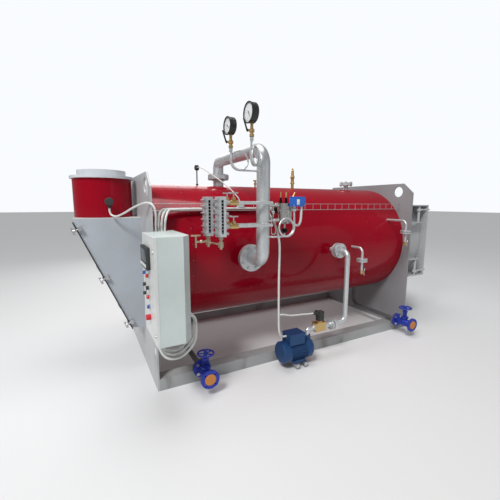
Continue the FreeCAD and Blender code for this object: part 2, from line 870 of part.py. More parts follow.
small_start = vec(d.column_position - d.column_radius + 10, -d.column_reach, 1750)
small_line = GaugeLine(small_start, -X_AXIS, 235, 161, 65, 1905, 2060, 62)
side_way = Vector(-math.sin(math.radians(50)), -math.cos(math.radians(50)), 0)
large_start = vec(d.column_position, -d.column_reach, 1776) + side_way * (float(d.column_radius) - 10)
large_line = GaugeLine(large_start, side_way, 201, 130, 68, 1966, 2126, 70)
siphons = [small_line.siphon(), large_line.siphon()]
feature("gauge_valves", *gauge_cocks, small_line.cock_body(), large_line.cock_body())
feature("small_cock_lever", small_line.lever())
feature("large_cock_lever", large_line.lever())


def seated_gauge(line):
    """A gauge trimmed where its cock enters it."""
    case = line.gauge()
    base = Vector(line.foot.x, line.foot.y, line.cock)
    return case.cut(Part.makeCylinder(11, float(line.dial_height - line.dial_radius - line.cock), base))


feature("small_pressure_gauge", seated_gauge(small_line))
feature("large_pressure_gauge", seated_gauge(large_line))


# ---------------------------------------------------------------- electrode chamber

def electrode_chamber():
    """The stainless pot with its pipes to the column."""
    base = vec(d.chamber_position, -d.column_reach, d.chamber_bottom)
    radius = d.chamber_radius
    height = d.chamber_height
    pot = turned([(0, -14), (radius - 20, -12), (radius, 2), (radius, height - 6), (radius + 6, height - 6),
                  (radius + 6, height), (0, height)], base)
    upper = rod(vec(d.column_position, -d.column_reach, 1488), vec(d.chamber_position, -d.column_reach, 1488), 13)
    lower = rod(vec(d.column_position, -d.column_reach, 1366), vec(d.chamber_position, -d.column_reach, 1366), 13)
    nut = hexagon(vec(d.chamber_position - radius - 34, -d.column_reach, 1488), X_AXIS, 36, 24)
    drain = rod(base - Z_AXIS * 13, base - Z_AXIS * 110, 9)
    riser = rod(vec(930, -d.column_reach, 1488), vec(930, -d.column_reach, 1366), 8)
    ball = Part.makeSphere(17, vec(930, -d.column_reach, 1428))
    return off_column(fused(pot, upper, lower, nut, drain, riser, ball))


def chamber_cock():
    """The black drain valve with a brass end under the pot."""
    base = vec(d.chamber_position, -d.column_reach, d.chamber_bottom - 110)
    valve = fused(rod(base + Z_AXIS * 58, base + Z_AXIS * 20, 20),
                  rod(base + Vector(0, -30, 39), base + Vector(0, 30, 39), 11))
    return valve.cut(Part.makeCylinder(9, 90, base))


def sample_loop():
    """The small U tube between the column and the pot."""
    left = vec(916, -d.column_reach, 1352.9)
    points = [left, left - Z_AXIS * 104, left + Vector(40, 0, -104), left + Vector(40, 0, 0)]
    return pipe(points, 5, 19)


def electrodes():
    """Insulated probes on the pot's head."""
    shapes = []
    top = float(d.chamber_bottom + d.chamber_height)
    places = [(-30, 18, 0), (2, -12, 0), (24, 16, 0), (46, -8, 28)]
    for across, deep, tilt in places:
        base = vec(d.chamber_position + across, -d.column_reach + deep, top)
        lean = Vector(math.sin(math.radians(tilt)), 0, math.cos(math.radians(tilt)))
        foot = base + lean * (6 if tilt else 0)
        shapes.append(turned([(0, 0), (11, 0), (11, 18), (8, 46), (0, 46)], foot, lean))
    return shapes


def electrode_tips():
    """Brass terminals on the probes."""
    shapes = []
    for probe, lean in zip(electrodes(), (0, 0, 0, 28)):
        way = Vector(math.sin(math.radians(lean)), 0, math.cos(math.radians(lean)))
        end = probe.Placement.Base + way * 46
        shapes.append(rod(end, end + way * 46, 5))
    return shapes


def chamber_box():
    """The conduit box on the back of the pot."""
    back = -float(d.column_reach) + float(d.chamber_radius)
    low = vec(d.chamber_position - 45, back - 24, 1420)
    solid = box(low, low + Vector(40, 58, 50))
    return solid.cut(Part.makeCylinder(d.chamber_radius + 7, 300, vec(d.chamber_position, -d.column_reach, 1300)))


feature("electrode_chamber", electrode_chamber(), sample_loop())
feature("electrodes", *electrodes(), *electrode_tips(), chamber_cock(), chamber_box())


# ---------------------------------------------------------------- pressure switch

switch_reach = d.column_reach + 90
switch_low = vec(1038, -switch_reach - 34, 1477)
switch_high = switch_low + Vector(126, 52, 78)
stem_across = 1076


def switch_siphon():
    """The loop from the column to the pressure switch."""
    start = vec(d.column_position + 30, -switch_reach + 50, 1238)
    turn = vec(d.column_position + 30, -switch_reach, 1238)
    corner = vec(stem_across, -switch_reach, 1238)
    top = vec(stem_across, -switch_reach, 1437)
    bar = pipe([start, turn, corner, top], 8, 60)
    loop = Part.makeTorus(72, 7, vec(stem_across - 75, -switch_reach, 1311), Y_AXIS)
    union = turned([(0, 0), (14, 0), (20, 8), (20, 22), (12, 28), (12, 40), (0, 40)],
                   vec(stem_across, -switch_reach, 1437))
    return off_column(fused(bar, loop, union))


feature("siphons", *siphons, switch_siphon())
feature("pressure_switch", box(switch_low, switch_high))


# ---------------------------------------------------------------- fittings on top of the shell

def shell_top(across):
    return vec(across, 0, d.shell_height + d.shell_radius)


def safety_valve():
    base = shell_top(1780) + Z_AXIS * 52
    return turned([(0, 0), (26, 0), (26, 14), (20, 20), (20, 60), (26, 66), (26, 84), (18, 92),
                   (16, 150), (10, 158), (10, 176), (0, 176)], base)


def safety_stub():
    return off_shell(rod(shell_top(1780) - Z_AXIS * 20, shell_top(1780) + Z_AXIS * 52, 18))


def vent_valve():
    base = shell_top(1278)
    stem = off_shell(rod(base - Z_AXIS * 20, base + Z_AXIS * 60, 9))
    body = turned([(0, 24), (16, 24), (16, 44), (9, 50), (9, 62), (0, 62)], base)
    return fused(stem, body)


def vent_wheel():
    base = shell_top(1278) + Z_AXIS * (62 + float(d.seat_gap))
    return turned([(0, 0), (8, 0), (26, 4), (26, 14), (8, 16), (0, 16)], base)


def inspection_nozzle():
    top = shell_top(2631)
    stub = rod(top - Z_AXIS * 20, top + Z_AXIS * 56, 30)
    disc = flange(top + Z_AXIS * 56, Z_AXIS, 82, 1, 18, 125, 4, 18)
    return off_shell(fused(stub, disc))


def shell_sensor():
    base = shell_top(605)
    stem = off_shell(rod(base - Z_AXIS * 10, base + Z_AXIS * 160, 6))
    nut = turned([(0, 4), (13, 4), (13, 16), (0, 16)], base)
    head = turned([(0, 150), (14, 150), (24, 160), (24, 190), (16, 202), (0, 202)], base)
    return fused(stem, nut), head.cut(Part.makeCylinder(6, 160, base))


feature("top_valves", safety_valve(), safety_stub(), vent_valve(), vent_wheel())
blind = flange(shell_top(2631) + Z_AXIS * 74, Z_AXIS, 82, 1, 18, 125, 4, 18)
nozzles += [inspection_nozzle(), blind]
bolts += stud_bolts(shell_top(2631) + Z_AXIS * 56, Z_AXIS, 62.5, 4, 36, 16)
feature("shell_sensor", *shell_sensor())


# ---------------------------------------------------------------- cable tray

tray_reach = 575.0
tray_low = 1436.0
tray_high = 1500.0
tray_wire = 5.0
rung_start = 250.0
lane_level = 1456.0
conduit_radius = 9.5


def cable_tray():
    """A wire basket tray along the shell, its rungs welded to the long wires."""
    start = float(d.plate_thickness)
    end = float(d.frame_length - d.plate_thickness)
    back = -508.0
    wires = [
        box(Vector(start, -tray_reach, low), Vector(end, -tray_reach + tray_wire, low + tray_wire))
        for low in (tray_low, tray_high - tray_wire)
    ]
    wires.append(box(Vector(start, back - tray_wire, tray_low), Vector(end, back, tray_low + tray_wire)))
    count = 30
    pitch = (end - start) / count
    for step in range(count):
        left = start + pitch * (step + 0.5)
        right = left + tray_wire
        if left < rung_start:
            continue
        wires.append(box(Vector(left, -tray_reach, tray_low), Vector(right, -tray_reach + tray_wire, tray_high)))
        wires.append(box(Vector(left, -tray_reach, tray_low), Vector(right, -500, tray_low + tray_wire)))
    return off_shell(fused(*wires))


tray_box = box(Vector(800, -569, lane_level + conduit_radius + 0.3), Vector(860, -527, 1490))
feature("cable_tray", cable_tray(), tray_box)


# ---------------------------------------------------------------- control cabinet

cabinet_near = d.frame_width / 2 + d.cabinet_width
cabinet_far = d.frame_width / 2
cabinet_back = d.cabinet_depth - d.cabinet_front


def cabinet():
    """The control cabinet: a folded sheet box, open toward its door."""
    outline = [
        (-d.cabinet_front, -cabinet_far), (-d.cabinet_front, -cabinet_near),
        (cabinet_back - d.cabinet_chamfer_depth, -cabinet_near),
        (cabinet_back, -(cabinet_near - d.cabinet_chamfer_width)), (cabinet_back, -cabinet_far),
    ]
    body = plate_body("cabinet_box", "XY_Plane", d.cabinet_bottom, d.cabinet_height, outline)
    sheet = d.cabinet_sheet
    inside = [
        (-(d.cabinet_front + 10), -(cabinet_far + sheet)), (-(d.cabinet_front + 10), -(cabinet_near - sheet)),
        (cabinet_back - d.cabinet_chamfer_depth - sheet, -(cabinet_near - sheet)),
        (cabinet_back - sheet, -(cabinet_near - d.cabinet_chamfer_width - sheet)),
        (cabinet_back - sheet, -(cabinet_far + sheet)),
    ]
    top = d.cabinet_bottom + d.cabinet_height - sheet
    pocket(body, "XY_Plane", top, d.cabinet_height - sheet * 2, inside, name="inside")
    return body


def cabinet_duct():
    """The cable duct that carries the cabinet on the flue end plate, with a slot in its top."""
    near = d.frame_width / 2
    far = near - d.duct_depth
    outline = [(d.plate_thickness, -near), (cabinet_back, -near), (cabinet_back, -far), (d.plate_thickness, -far)]
    body = plate_body("duct_box", "XY_Plane", d.cabinet_bottom, d.cabinet_height, outline)
    sheet = d.cabinet_sheet
    start = d.plate_thickness + sheet
    inside = [
        (start, -(near - sheet)), (cabinet_back - sheet, -(near - sheet)),
        (cabinet_back - sheet, -(far + sheet)), (start, -(far + sheet)),
    ]
    top = d.cabinet_bottom + d.cabinet_height
    pocket(body, "XY_Plane", top - sheet, d.cabinet_height - sheet * 2, inside, name="inside")
    slot = [
        (start + 6, -(near - sheet - 6)), (start + 110, -(near - sheet - 6)),
        (start + 110, -(far + sheet + 6)), (start + 6, -(far + sheet + 6)),
    ]
    pocket(body, "XY_Plane", top, sheet, slot, name="slot")
    return body


def joined(label, body, *shapes):
    """A sub-part of a body and the loose solids that belong to it."""
    parts.remove(body)
    extras = doc.addObject("Part::Feature", f"{label}_extras")
    extras.Shape = Part.makeCompound(list(shapes))
    whole = doc.addObject("Part::Compound", label)
    whole.Links = [body, extras]
    doc.recompute()
    return keep(whole, label)


def duct_seal():
    """The rubber seal under the duct's slot, where the conduits end."""
    near = float(d.frame_width) / 2
    sheet = float(d.cabinet_sheet)
    start = float(d.plate_thickness) + sheet
    top = float(d.cabinet_bottom + d.cabinet_height) - sheet
    return box(Vector(start, -near + sheet, top - 10), Vector(start + 122, -near + float(d.duct_depth) - sheet, top))


joined("cabinet_duct", cabinet_duct(), duct_seal())

door_gap = 1.0
door_back = -float(d.cabinet_front) - door_gap
door_face = door_back - float(d.door_thickness)
cabinet_top = float(d.cabinet_bottom + d.cabinet_height)
hinge_across = door_face + 5.0
hinge_depth = -float(cabinet_far) + 8.0


def cabinet_door():
    """The door: a folded tray with its two hinge knuckles."""
    low = Vector(door_face, -float(cabinet_near), float(d.cabinet_bottom))
    high = Vector(door_back, -float(cabinet_far), cabinet_top)
    leaf = box(low, high)
    hollow = box(low + Vector(2.5, 14, 14), high + Vector(1, -14, -14))
    shapes = [leaf.cut(hollow)]
    for height in (low.z + 90, high.z - 130):
        barrel = Part.makeCylinder(6, 40, Vector(hinge_across, hinge_depth, height))
        strap = box(Vector(hinge_across - 2, -float(cabinet_far) - 0.5, height), Vector(hinge_across + 2, hinge_depth, height + 40))
        shapes.append(fused(barrel, strap))
    pins = [Part.makeCylinder(3 + float(d.running_clearance), 40, Vector(hinge_across, hinge_depth, height))
            for height in (low.z + 90, high.z - 130)]
    leaf = fused(*shapes)
    for pin in pins:
        leaf = leaf.cut(pin)
    return leaf


def cabinet_hinges():
    """Fixed knuckles with their pins, on the cabinet's side."""
    shapes = []
    low = float(d.cabinet_bottom)
    for height in (low + 90, cabinet_top - 130):
        barrel = Part.makeCylinder(6, 30, Vector(hinge_across, hinge_depth, height - 31))
        pin = Part.makeCylinder(3, 68, Vector(hinge_across, hinge_depth, height - 30))
        side = float(cabinet_far)
        strap = box(Vector(hinge_across, -side + 3.0, height - 31), Vector(-20, -side + 6.0, height - 1))
        foot = box(Vector(-40, -side, height - 31), Vector(-20, -side + 6.0, height - 1))
        shapes.append(fused(barrel, pin, strap, foot))
    return shapes


feature("cabinet_door", cabinet_door())
joined("control_cabinet", cabinet(), *cabinet_hinges())


def door_block(across, height, width, tall, proud):
    """A block on the door's outer face."""
    low = Vector(door_face - proud, across - width / 2, height - tall / 2)
    return box(low, Vector(door_face, across + width / 2, height + tall / 2))


def door_knob(across, height, radius, proud):
    return rod(Vector(door_face, across, height), Vector(door_face - proud, across, height), radius)


controls = [
    door_block(-920, 1135, 230, 150, 26),
    door_knob(-960, 1010, 17, 26), door_knob(-960, 925, 17, 26),
    door_knob(-960, 860, 17, 26), door_knob(-960, 790, 17, 26),
    door_knob(-840, 1010, 17, 20), door_knob(-840, 925, 17, 20), door_knob(-840, 860, 17, 20),
]
controls += [door_knob(-1142, 1193, 11, 10), door_knob(-1142, 640, 11, 10)]
controls.append(fused(door_knob(-960, 715, 12, 14), door_knob(-960, 715, 20, 34).cut(
    door_knob(-960, 715, 21, 14))))
feature("door_controls", *controls)


# ---------------------------------------------------------------- feed pump and line

pump_axis = vec(d.pump_position, -d.pump_reach, d.pump_height)


def feed_pump():
    """Motor with fan cover and cooling fins, terminal box, pump head and feet."""
    radius = float(d.pump_radius)
    length = float(d.pump_length)
    motor = turned([(0, 0), (radius - 14, 0), (radius, 12), (radius, 74), (radius - 12, 76),
                    (radius - 12, length), (0, length)], pump_axis, X_AXIS)
    head = turned([(0, length), (radius - 22, length), (radius - 4, length + 14), (radius - 4, length + 60),
                   (radius - 30, length + 90), (0, length + 96)], pump_axis, X_AXIS)
    shapes = [motor, head]
    for step in range(24):
        angle = math.radians(15 * step + 7.5)
        fin = Part.makeBox(length - 84, 4, 13, Vector(80, -2, radius - 16))
        fin.rotate(Vector(), X_AXIS, math.degrees(angle))
        fin.translate(pump_axis)
        shapes.append(fin)
    shapes.append(box(pump_axis + Vector(60, -75, radius - 22), pump_axis + Vector(225, 55, radius + 80)))
    shapes.append(rod(pump_axis + Vector(length + 50, 0, 40), pump_axis + Vector(length + 50, 0, radius + 18), 34))
    shapes.append(box(pump_axis + Vector(110, -70, -radius - 4), pump_axis + Vector(240, 70, -radius + 26)))
    return fused(*shapes)


def pump_rails():
    """Two angle rails cantilevered from the front beam, and the pump's foot plate."""
    near = -float(d.frame_width) / 2
    shapes = []
    top = float(d.pump_height - d.pump_radius) - 4
    for across in (140, 230):
        left = float(d.pump_position) + across
        shapes.append(box(Vector(left - 17, -float(d.pump_reach) - 92, top - 34), Vector(left + 17, near, top)))
    return shapes


discharge = float(d.pump_position + d.pump_length) + 50
valve_start = discharge + 84
valve_end = valve_start + 120


def feed_line():
    """Feed pipes from the pump discharge to the shell nozzle, with a check valve."""
    reach = d.pump_reach
    level = d.feed_line_height
    top = pump_axis.z + float(d.pump_radius) + 18
    lower = pipe([vec(discharge, -reach, top), vec(discharge, -reach, level), vec(valve_start, -reach, level)], 21, 40)
    face = d.drain_face - 21
    upper = pipe([vec(valve_end, -reach, level), vec(d.feed_position, -reach, level),
                  vec(d.feed_position, -reach, d.shell_height), vec(d.feed_position, -face, d.shell_height)],
                 d.feed_radius, 62)
    checks = []
    for offset in (78, 104):
        checks.append(ring(vec(valve_end + offset, -reach, level), X_AXIS, 55, 10, 14))
    flange_disc = flange(vec(d.feed_position, -face, d.shell_height), -Y_AXIS,
                         d.valve_flange_radius, 10, 18, 110, 4, 18)
    return lower, fused(upper, flange_disc, *checks)


def feed_nozzle():
    """The shell nozzle and wafer behind the feed line's flange."""
    face = float(d.drain_face) - 21
    stub = nozzle(vec(d.feed_position, -face + 20, d.shell_height), Y_AXIS, d.valve_flange_radius,
                  d.feed_radius, 4, 18, 100, 110, 4, 18)
    wafer = ring(vec(d.feed_position, -face, d.shell_height), Y_AXIS, 46, 20, 20)
    return stub, wafer


def solenoid_valve():
    """The brass body of the feed solenoid valve."""
    level = float(d.feed_line_height)
    reach = float(d.pump_reach)
    body = box(Vector(valve_start, -reach - 34, level - 36), Vector(valve_end, -reach + 34, level + 50))
    ends = [hexagon(Vector(valve_start - 12, -reach, level), X_AXIS, 58, 12),
            hexagon(Vector(valve_end, -reach, level), X_AXIS, 58, 12)]
    top = turned([(0, 50), (30, 50), (30, 62), (0, 62)], Vector(valve_start + 66, -reach, level))
    return fused(body, top), ends


def solenoid_coil():
    """The black coil and its plug."""
    level = float(d.feed_line_height)
    reach = float(d.pump_reach)
    foot = Vector(valve_start + 66, -reach, level + 62)
    coil = box(foot + Vector(-26, -28, 0), foot + Vector(30, 28, 92))
    plug = box(foot + Vector(-52, -16, 62), foot + Vector(-26, 16, 104))
    spout = rod(foot + Vector(-52, 0, 84), foot + Vector(-82, 0, 84), 12)
    return fused(coil, plug, spout)


feature("feed_pump", feed_pump())
feature("pump_rails", *pump_rails())
lower_feed, upper_feed = feed_line()
valve_body, valve_ends = solenoid_valve()
feature("feed_line", fused(lower_feed, valve_ends[0]), fused(upper_feed, valve_ends[1]))
feature("shell_nozzles", *nozzles, *feed_nozzle())
bolts += stud_bolts(vec(d.feed_position, -(d.drain_face - 21) + 38, d.shell_height), -Y_AXIS, 55, 4, 56, 16)
feature("solenoid_valve", valve_body)
feature("solenoid_coil", solenoid_coil())


# ---------------------------------------------------------------- sample cocks

def sample_line(start, reach, flange_height, cock_height):
    """A bent pipe off the shell to a flange pair and a cock."""
    turn = Vector(start.x, -reach, start.z)
    foot = Vector(start.x, -reach, cock_height + 20)
    bar = pipe([start, turn, foot], 13, 52)
    discs = []
    for height in (flange_height, flange_height + 20):
        discs.append(ring(Vector(start.x, -reach, height), Z_AXIS, 56, 12, 14))
    return off_shell(fused(bar, *discs))


def sample_cock(start, reach, cock_height):
    """The brass ball cock at the foot of a sample line."""
    base = Vector(start.x, -reach, cock_height - 22)
    body = turned([(0, 0), (12, 0), (12, 8), (19, 14), (19, 32), (12, 38), (12, 42), (0, 42)], base)
    spindle = rod(base + Vector(0, 0, 23), base + Vector(28, 0, 23), 7)
    return fused(body, spindle)


def sample_lever(start, reach, cock_height):
    """The cock's lever, turning about X."""
    hub = Vector(start.x + 28 + float(d.seat_gap), -reach, cock_height + 1)
    disc = rod(hub, hub + X_AXIS * 8, 9)
    arm = rod(hub + X_AXIS * 6, hub + Vector(22, 0, 36), 5)
    tail = rod(hub + X_AXIS * 6, hub + Vector(14, 0, -40), 5)
    return fused(disc, arm, tail)


samples = {
    "middle": (Vector(2130, -600, 1039), 800, 896, 784),
    "right": (Vector(2748, -560, 1313), 835, 1172, 1060),
}
sample_pipes = [sample_line(start, reach, disc, cock) for start, reach, disc, cock in samples.values()]
feature("sample_lines", *sample_pipes)
sample_bodies = [sample_cock(start, reach, cock) for start, reach, _, cock in samples.values()]
feature("sample_cocks", *sample_bodies)
for place_name, (start, reach, _, cock) in samples.items():
    feature(f"sample_lever_{place_name}", sample_lever(start, reach, cock))


# ---------------------------------------------------------------- blowdown

def blowdown_pipe(across):
    """A drain from the shell bottom, forward over the front beam, with its flange."""
    level = d.drain_height
    thick = d.valve_flange_thickness
    face = d.drain_face
    bar = pipe([vec(across, -d.drain_drop, 430), vec(across, -d.drain_drop, level), vec(across, -face, level)],
               d.drain_radius, 90)
    disc = flange(vec(across, -face, level), Y_AXIS, d.valve_flange_radius, 10, thick, 110, 4, d.fitted_hole)
    return off_shell(fused(bar, disc))


def globe_valve(across):
    """A flanged globe valve: body, bonnet and yoke."""
    level = float(d.drain_height)
    face = -float(d.drain_face)
    length = float(d.valve_length)
    thick = float(d.valve_flange_thickness)
    middle = Vector(float(across), face - length / 2, level)
    body = turned([(0, thick), (30, thick), (40, 60), (46, length / 2), (40, length - 60),
                   (30, length - thick), (0, length - thick)], Vector(float(across), face, level), -Y_AXIS)
    rear = flange(Vector(float(across), face, level), -Y_AXIS, d.valve_flange_radius, 20, thick, 110, 4, d.fitted_hole)
    front = flange(Vector(float(across), face - length + thick, level), -Y_AXIS,
                   d.valve_flange_radius, 20, thick, 110, 4, 18)
    cores = [rod(Vector(float(across), face, level), Vector(float(across), face - thick, level), 20),
             rod(Vector(float(across), face - length + thick, level),
                 Vector(float(across), face - length, level), 20)]
    bonnet = turned([(0, 30), (26, 30), (26, 50), (40, 52), (40, 66), (20, 70), (20, 78), (0, 78)], middle)
    posts = [box(middle + Vector(side * 18 - 6, -9, 70), middle + Vector(side * 18 + 6, 9, 130)) for side in (-1, 1)]
    bridge = turned([(0, 122), (26, 122), (26, 138), (0, 138)], middle)
    solid = fused(body, rear, front, bonnet, bridge, *cores, *posts)
    stem_hole = Part.makeCylinder(7 + float(d.running_clearance), 120, middle + Z_AXIS * 78)
    return solid.cut(stem_hole)


def handwheel(across):
    """A five-spoke handwheel with its stem."""
    hub = Vector(float(across), -float(d.drain_face) - float(d.valve_length) / 2, float(d.wheel_height))
    radius = float(d.wheel_radius)
    rim = Part.makeTorus(radius - 7, 7, hub, Z_AXIS)
    centre = turned([(0, -14), (15, -14), (15, 12), (9, 18), (0, 18)], hub)
    foot = float(d.drain_height) + 78 + 2
    stem = rod(Vector(hub.x, hub.y, foot), hub, 7)
    shapes = [rim, centre, stem]
    for step in range(5):
        angle = math.radians(72 * step + 90)
        way = Vector(math.cos(angle), math.sin(angle), 0)
        shapes.append(rod(hub + way * 6, hub + way * (radius - 7), 5))
    return fused(*shapes)


def blank_cap(across):
    """The protective cap on the open end of a blowdown valve."""
    face = -float(d.drain_face) - float(d.valve_length)
    return turned([(0, 0), (45, 0), (45, 3), (41, 5), (0, 5)], Vector(float(across), face, float(d.drain_height)), -Y_AXIS)


feature("blowdown_pipes", blowdown_pipe(d.drain_left), blowdown_pipe(d.drain_right))
feature("blowdown_valves", globe_valve(d.drain_left), globe_valve(d.drain_right))
for place_name, across in (("left", d.drain_left), ("right", d.drain_right)):
    feature(f"handwheel_{place_name}", handwheel(across))
    thick = float(d.valve_flange_thickness)
    joint = vec(across, -(d.drain_face - thick), d.drain_height)
    bolts += stud_bolts(joint, -Y_AXIS, 55, 4, thick * 2, 16)
feature("blowdown_caps", blank_cap(d.drain_left), blank_cap(d.drain_right))


# ---------------------------------------------------------------- burner end

box_end = d.frame_length + d.burner_box_depth
box_top = d.burner_height + d.burner_box_height / 2
box_bottom = d.burner_height - d.burner_box_height / 2
hinge_x = float(d.frame_length + d.hinge_position)
hinge_y = -float(d.hinge_reach)
door_inner = float(box_end + d.burner_door_gap)
door_outer = door_inner + float(d.burner_door_thickness)
lug_offset = 217.0
eye_offset = 376.0


def burner_frame():
    """Top and bottom plates of the reversing chamber with hinge lugs and pins."""
    half = float(d.burner_box_width) / 2
    plate = float(d.burner_plate)
    start = float(d.frame_length)
    shapes = []
    for side, edge in ((1, float(box_top)), (-1, float(box_bottom))):
        low, high = sorted((edge, edge - side * plate))
        shapes.append(box(Vector(start, -half, low), Vector(float(box_end), half, high)))
        lug_height = float(d.burner_height) + side * lug_offset
        low, high = sorted((lug_height, lug_height + side * plate))
        lug = box(Vector(start, -half, low), Vector(hinge_x + 34, -half + 70, high))
        inner = edge - side * plate
        pin_low, pin_high = sorted((lug_height, inner))
        pin = Part.makeCylinder(float(d.hinge_pin_radius), pin_high - pin_low, Vector(hinge_x, hinge_y, pin_low))
        shapes += [lug, pin]
    return fused(*shapes[:3]), fused(*shapes[3:])


def burner_drum():
    """The barrel wall between the two plates."""
    start = vec(d.frame_length, 0, d.burner_height)
    length = float(d.burner_box_depth)
    barrel = ring(start, X_AXIS, d.shell_radius, d.shell_radius - 10, length)
    low = vec(d.frame_length, -700, box_bottom + d.burner_plate)
    high = vec(box_end, 700, box_top - d.burner_plate)
    return barrel.common(box(low, high))


def burner_door():
    """The door plate with the burner port and its stud holes."""
    half = float(d.burner_box_width) / 2
    leaf = box(Vector(door_inner, -half, float(box_bottom)), Vector(door_outer, half, float(box_top)))
    centre = Vector(door_inner, 0, float(d.furnace_height))
    leaf = leaf.cut(Part.makeCylinder(float(d.burner_port_radius), float(d.burner_door_thickness), centre, X_AXIS))
    for point in around(centre, X_AXIS, 165, 4):
        leaf = leaf.cut(Part.makeCylinder(6, float(d.burner_door_thickness), point, X_AXIS))
    for side in (-1, 1):
        hole = Vector(door_inner, hinge_y, float(d.burner_height) + side * eye_offset)
        leaf = leaf.cut(Part.makeCylinder(10.5, float(d.burner_door_thickness), hole, X_AXIS))
    return leaf


def hinge_eyes():
    """Eye bolts that carry the door on the hinge pins."""
    shapes = []
    for side in (-1, 1):
        height = float(d.burner_height) + side * eye_offset
        centre = Vector(hinge_x, hinge_y, height)
        eye = ring(centre - Z_AXIS * 14, Z_AXIS, 28, d.hinge_pin_radius + d.running_clearance, 28)
        shank = rod(centre + X_AXIS * 24, Vector(door_outer + 44, hinge_y, height), 10)
        pin_space = Part.makeCylinder(float(d.hinge_pin_radius + d.running_clearance), 80, centre - Z_AXIS * 40)
        back_nut = hexagon(Vector(door_inner - 16, hinge_y, height), X_AXIS, 30, 16)
        front_nut = hexagon(Vector(door_outer, hinge_y, height), X_AXIS, 30, 16)
        shapes.append(fused(eye, shank, back_nut, front_nut).cut(pin_space))
    return shapes


frame_upper, frame_lower = burner_frame()
feature("burner_frame", frame_upper, frame_lower, burner_drum())
feature("burner_door", burner_door(), *hinge_eyes())
feature("fasteners", *bolts)


# ---------------------------------------------------------------- conduits

seal_top = float(d.cabinet_bottom + d.cabinet_height - d.cabinet_sheet)
lanes = [(62, -688, -516), (85, -694, -537), (108, -700, -558)]
lane_ends = [980.0, 930.0, 880.0]


def tray_lane(lane):
    """One conduit from the duct's seal into the tray."""
    across, depth, lane_y = lanes[lane]
    points = [
        Vector(across, depth, seal_top),
        Vector(across, depth, 1388 - 20 * lane),
        Vector(across + 33, depth + 42, 1448 - 6 * lane),
        Vector(across + 116 - 12 * lane, lane_y, lane_level),
        Vector(lane_ends[lane], lane_y, lane_level),
    ]
    return swept(route(points, report="tray lane"), conduit_radius)


feature("tray_conduits", *[tray_lane(lane) for lane in range(3)])

feature("flue_conduit", cord("flue conduit", [
    Vector(-248, -306, 1460), Vector(-248, -306, 1424), Vector(-232, -318, 1398), Vector(-200, -350, 1390),
    Vector(-152, -425, 1418), Vector(-100, -530, 1462), Vector(-52, -640, 1494), Vector(-24, -724, 1506),
    Vector(8, -764, 1497), Vector(28, -776, 1456), Vector(35, -758, 1408), Vector(38, -724, 1362),
    Vector(37, -711, 1321), Vector(37, -711, seal_top),
], 8))

feature("shell_conduit", cord("shell conduit", [
    Vector(605, -24, 1856), Vector(605, -70, 1856), Vector(624, -140, 1836), Vector(654, -222, 1792),
    Vector(694, -320, 1736), Vector(734, -415, 1678), Vector(768, -495, 1618), Vector(796, -538, 1570),
    Vector(822, -549, 1530), Vector(822, -549, 1490),
], 5))

pump_lead = cord("pump conduit", [
    Vector(lane_ends[1], lanes[1][2], lane_level), Vector(1008, lanes[1][2], lane_level),
    Vector(1037, -598, 1458), Vector(1039, -660, 1436), Vector(1037, -722, 1400), Vector(1033, -785, 1352),
    Vector(1026, -860, 1278), Vector(1024, -908, 1180), Vector(1022, -915, 1060), Vector(1018, -914, 860),
    Vector(1020, -916, 640), Vector(1022, -915, 480), Vector(1030, -910, 390), Vector(1050, -902, 334),
    Vector(1082, -893, 308), Vector(1119, -893, 308),
], conduit_radius)

solenoid_lead = cord("solenoid conduit", [
    Vector(1031.3, -915, 530), Vector(1072, -915, 530), Vector(1124, -911, 508), Vector(1204, -904, 494),
    Vector(1300, -896, 486), Vector(1380, -888, 472), Vector(1427, -888, 472),
], 8)
feature("pump_conduits", pump_lead, solenoid_lead)

switch_lead = cord("switch conduit", [
    Vector(lane_ends[0], lanes[0][2], lane_level), Vector(1040, lanes[0][2], lane_level),
    Vector(1082, -542, 1460), Vector(1100, -596, 1464), Vector(1114, -670, 1452), Vector(1130, -760, 1416),
    Vector(1142, -850, 1366), Vector(1148, -926, 1328), Vector(1147, -992, 1312), Vector(1143, -1034, 1348),
    Vector(1140, -1046, 1410), Vector(1140, -1046, 1477),
], conduit_radius)

chamber_lead = cord("chamber conduit", [
    Vector(lane_ends[2], lanes[2][2], lane_level), Vector(977, lanes[2][2], lane_level),
    Vector(1006, -612, 1458), Vector(1008, -690, 1452), Vector(1012, -770, 1445), Vector(1012, -850, 1445),
], conduit_radius)
feature("chamber_conduits", switch_lead, chamber_lead)


def cabinet_loop(lane):
    """One slack conduit loop from the cabinet's floor round to its back wall."""
    y = -990.0 + 26 * lane
    left = -28.0 + 14 * lane
    right = 248.0
    low = 376.0 + 20 * lane
    points = [
        Vector(left, y, d.cabinet_bottom), Vector(left, y, 506), Vector(left + 18, y, 442),
        Vector(left + 62, y, low + 12), Vector(118, y, low), Vector(184, y, low + 40),
        Vector(right - 10, y, low + 100), Vector(right + 1, y, 560), Vector(right, y, 615),
        Vector(right - 2, y, 651), Vector(right - 15, y, 677), Vector(right - 39.5, y, 691),
        Vector(cabinet_back, y, 691),
    ]
    return swept(route(points, report="cabinet loop"), 9)


feature("cabinet_loops", *[cabinet_loop(lane) for lane in range(3)])


# ---------------------------------------------------------------- checks and export

doc.recompute()
for item in doc.Objects:
    if "Invalid" in item.State or "Error" in item.State:
        raise RuntimeError(f"{item.Label} failed: {item.State}")
for part in parts:
    shape = part.Shape
    if shape.isNull() or not shape.isValid():
        raise RuntimeError(f"{part.Label} has no valid shape")
os.makedirs("parts", exist_ok=True)
for part in parts:
    part.Shape.exportStep(f"parts/{part.Label}.step")
print(len(parts), "sub-parts written")
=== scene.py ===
"""Finishes, conduits and fine pieces of a skid-mounted industrial boiler, dressed around its frame."""
import logging
import math
from dataclasses import dataclass, field
from enum import Enum
from typing import Callable, Optional, Sequence, Union

import bmesh
import bpy
from mathutils import Matrix, Vector


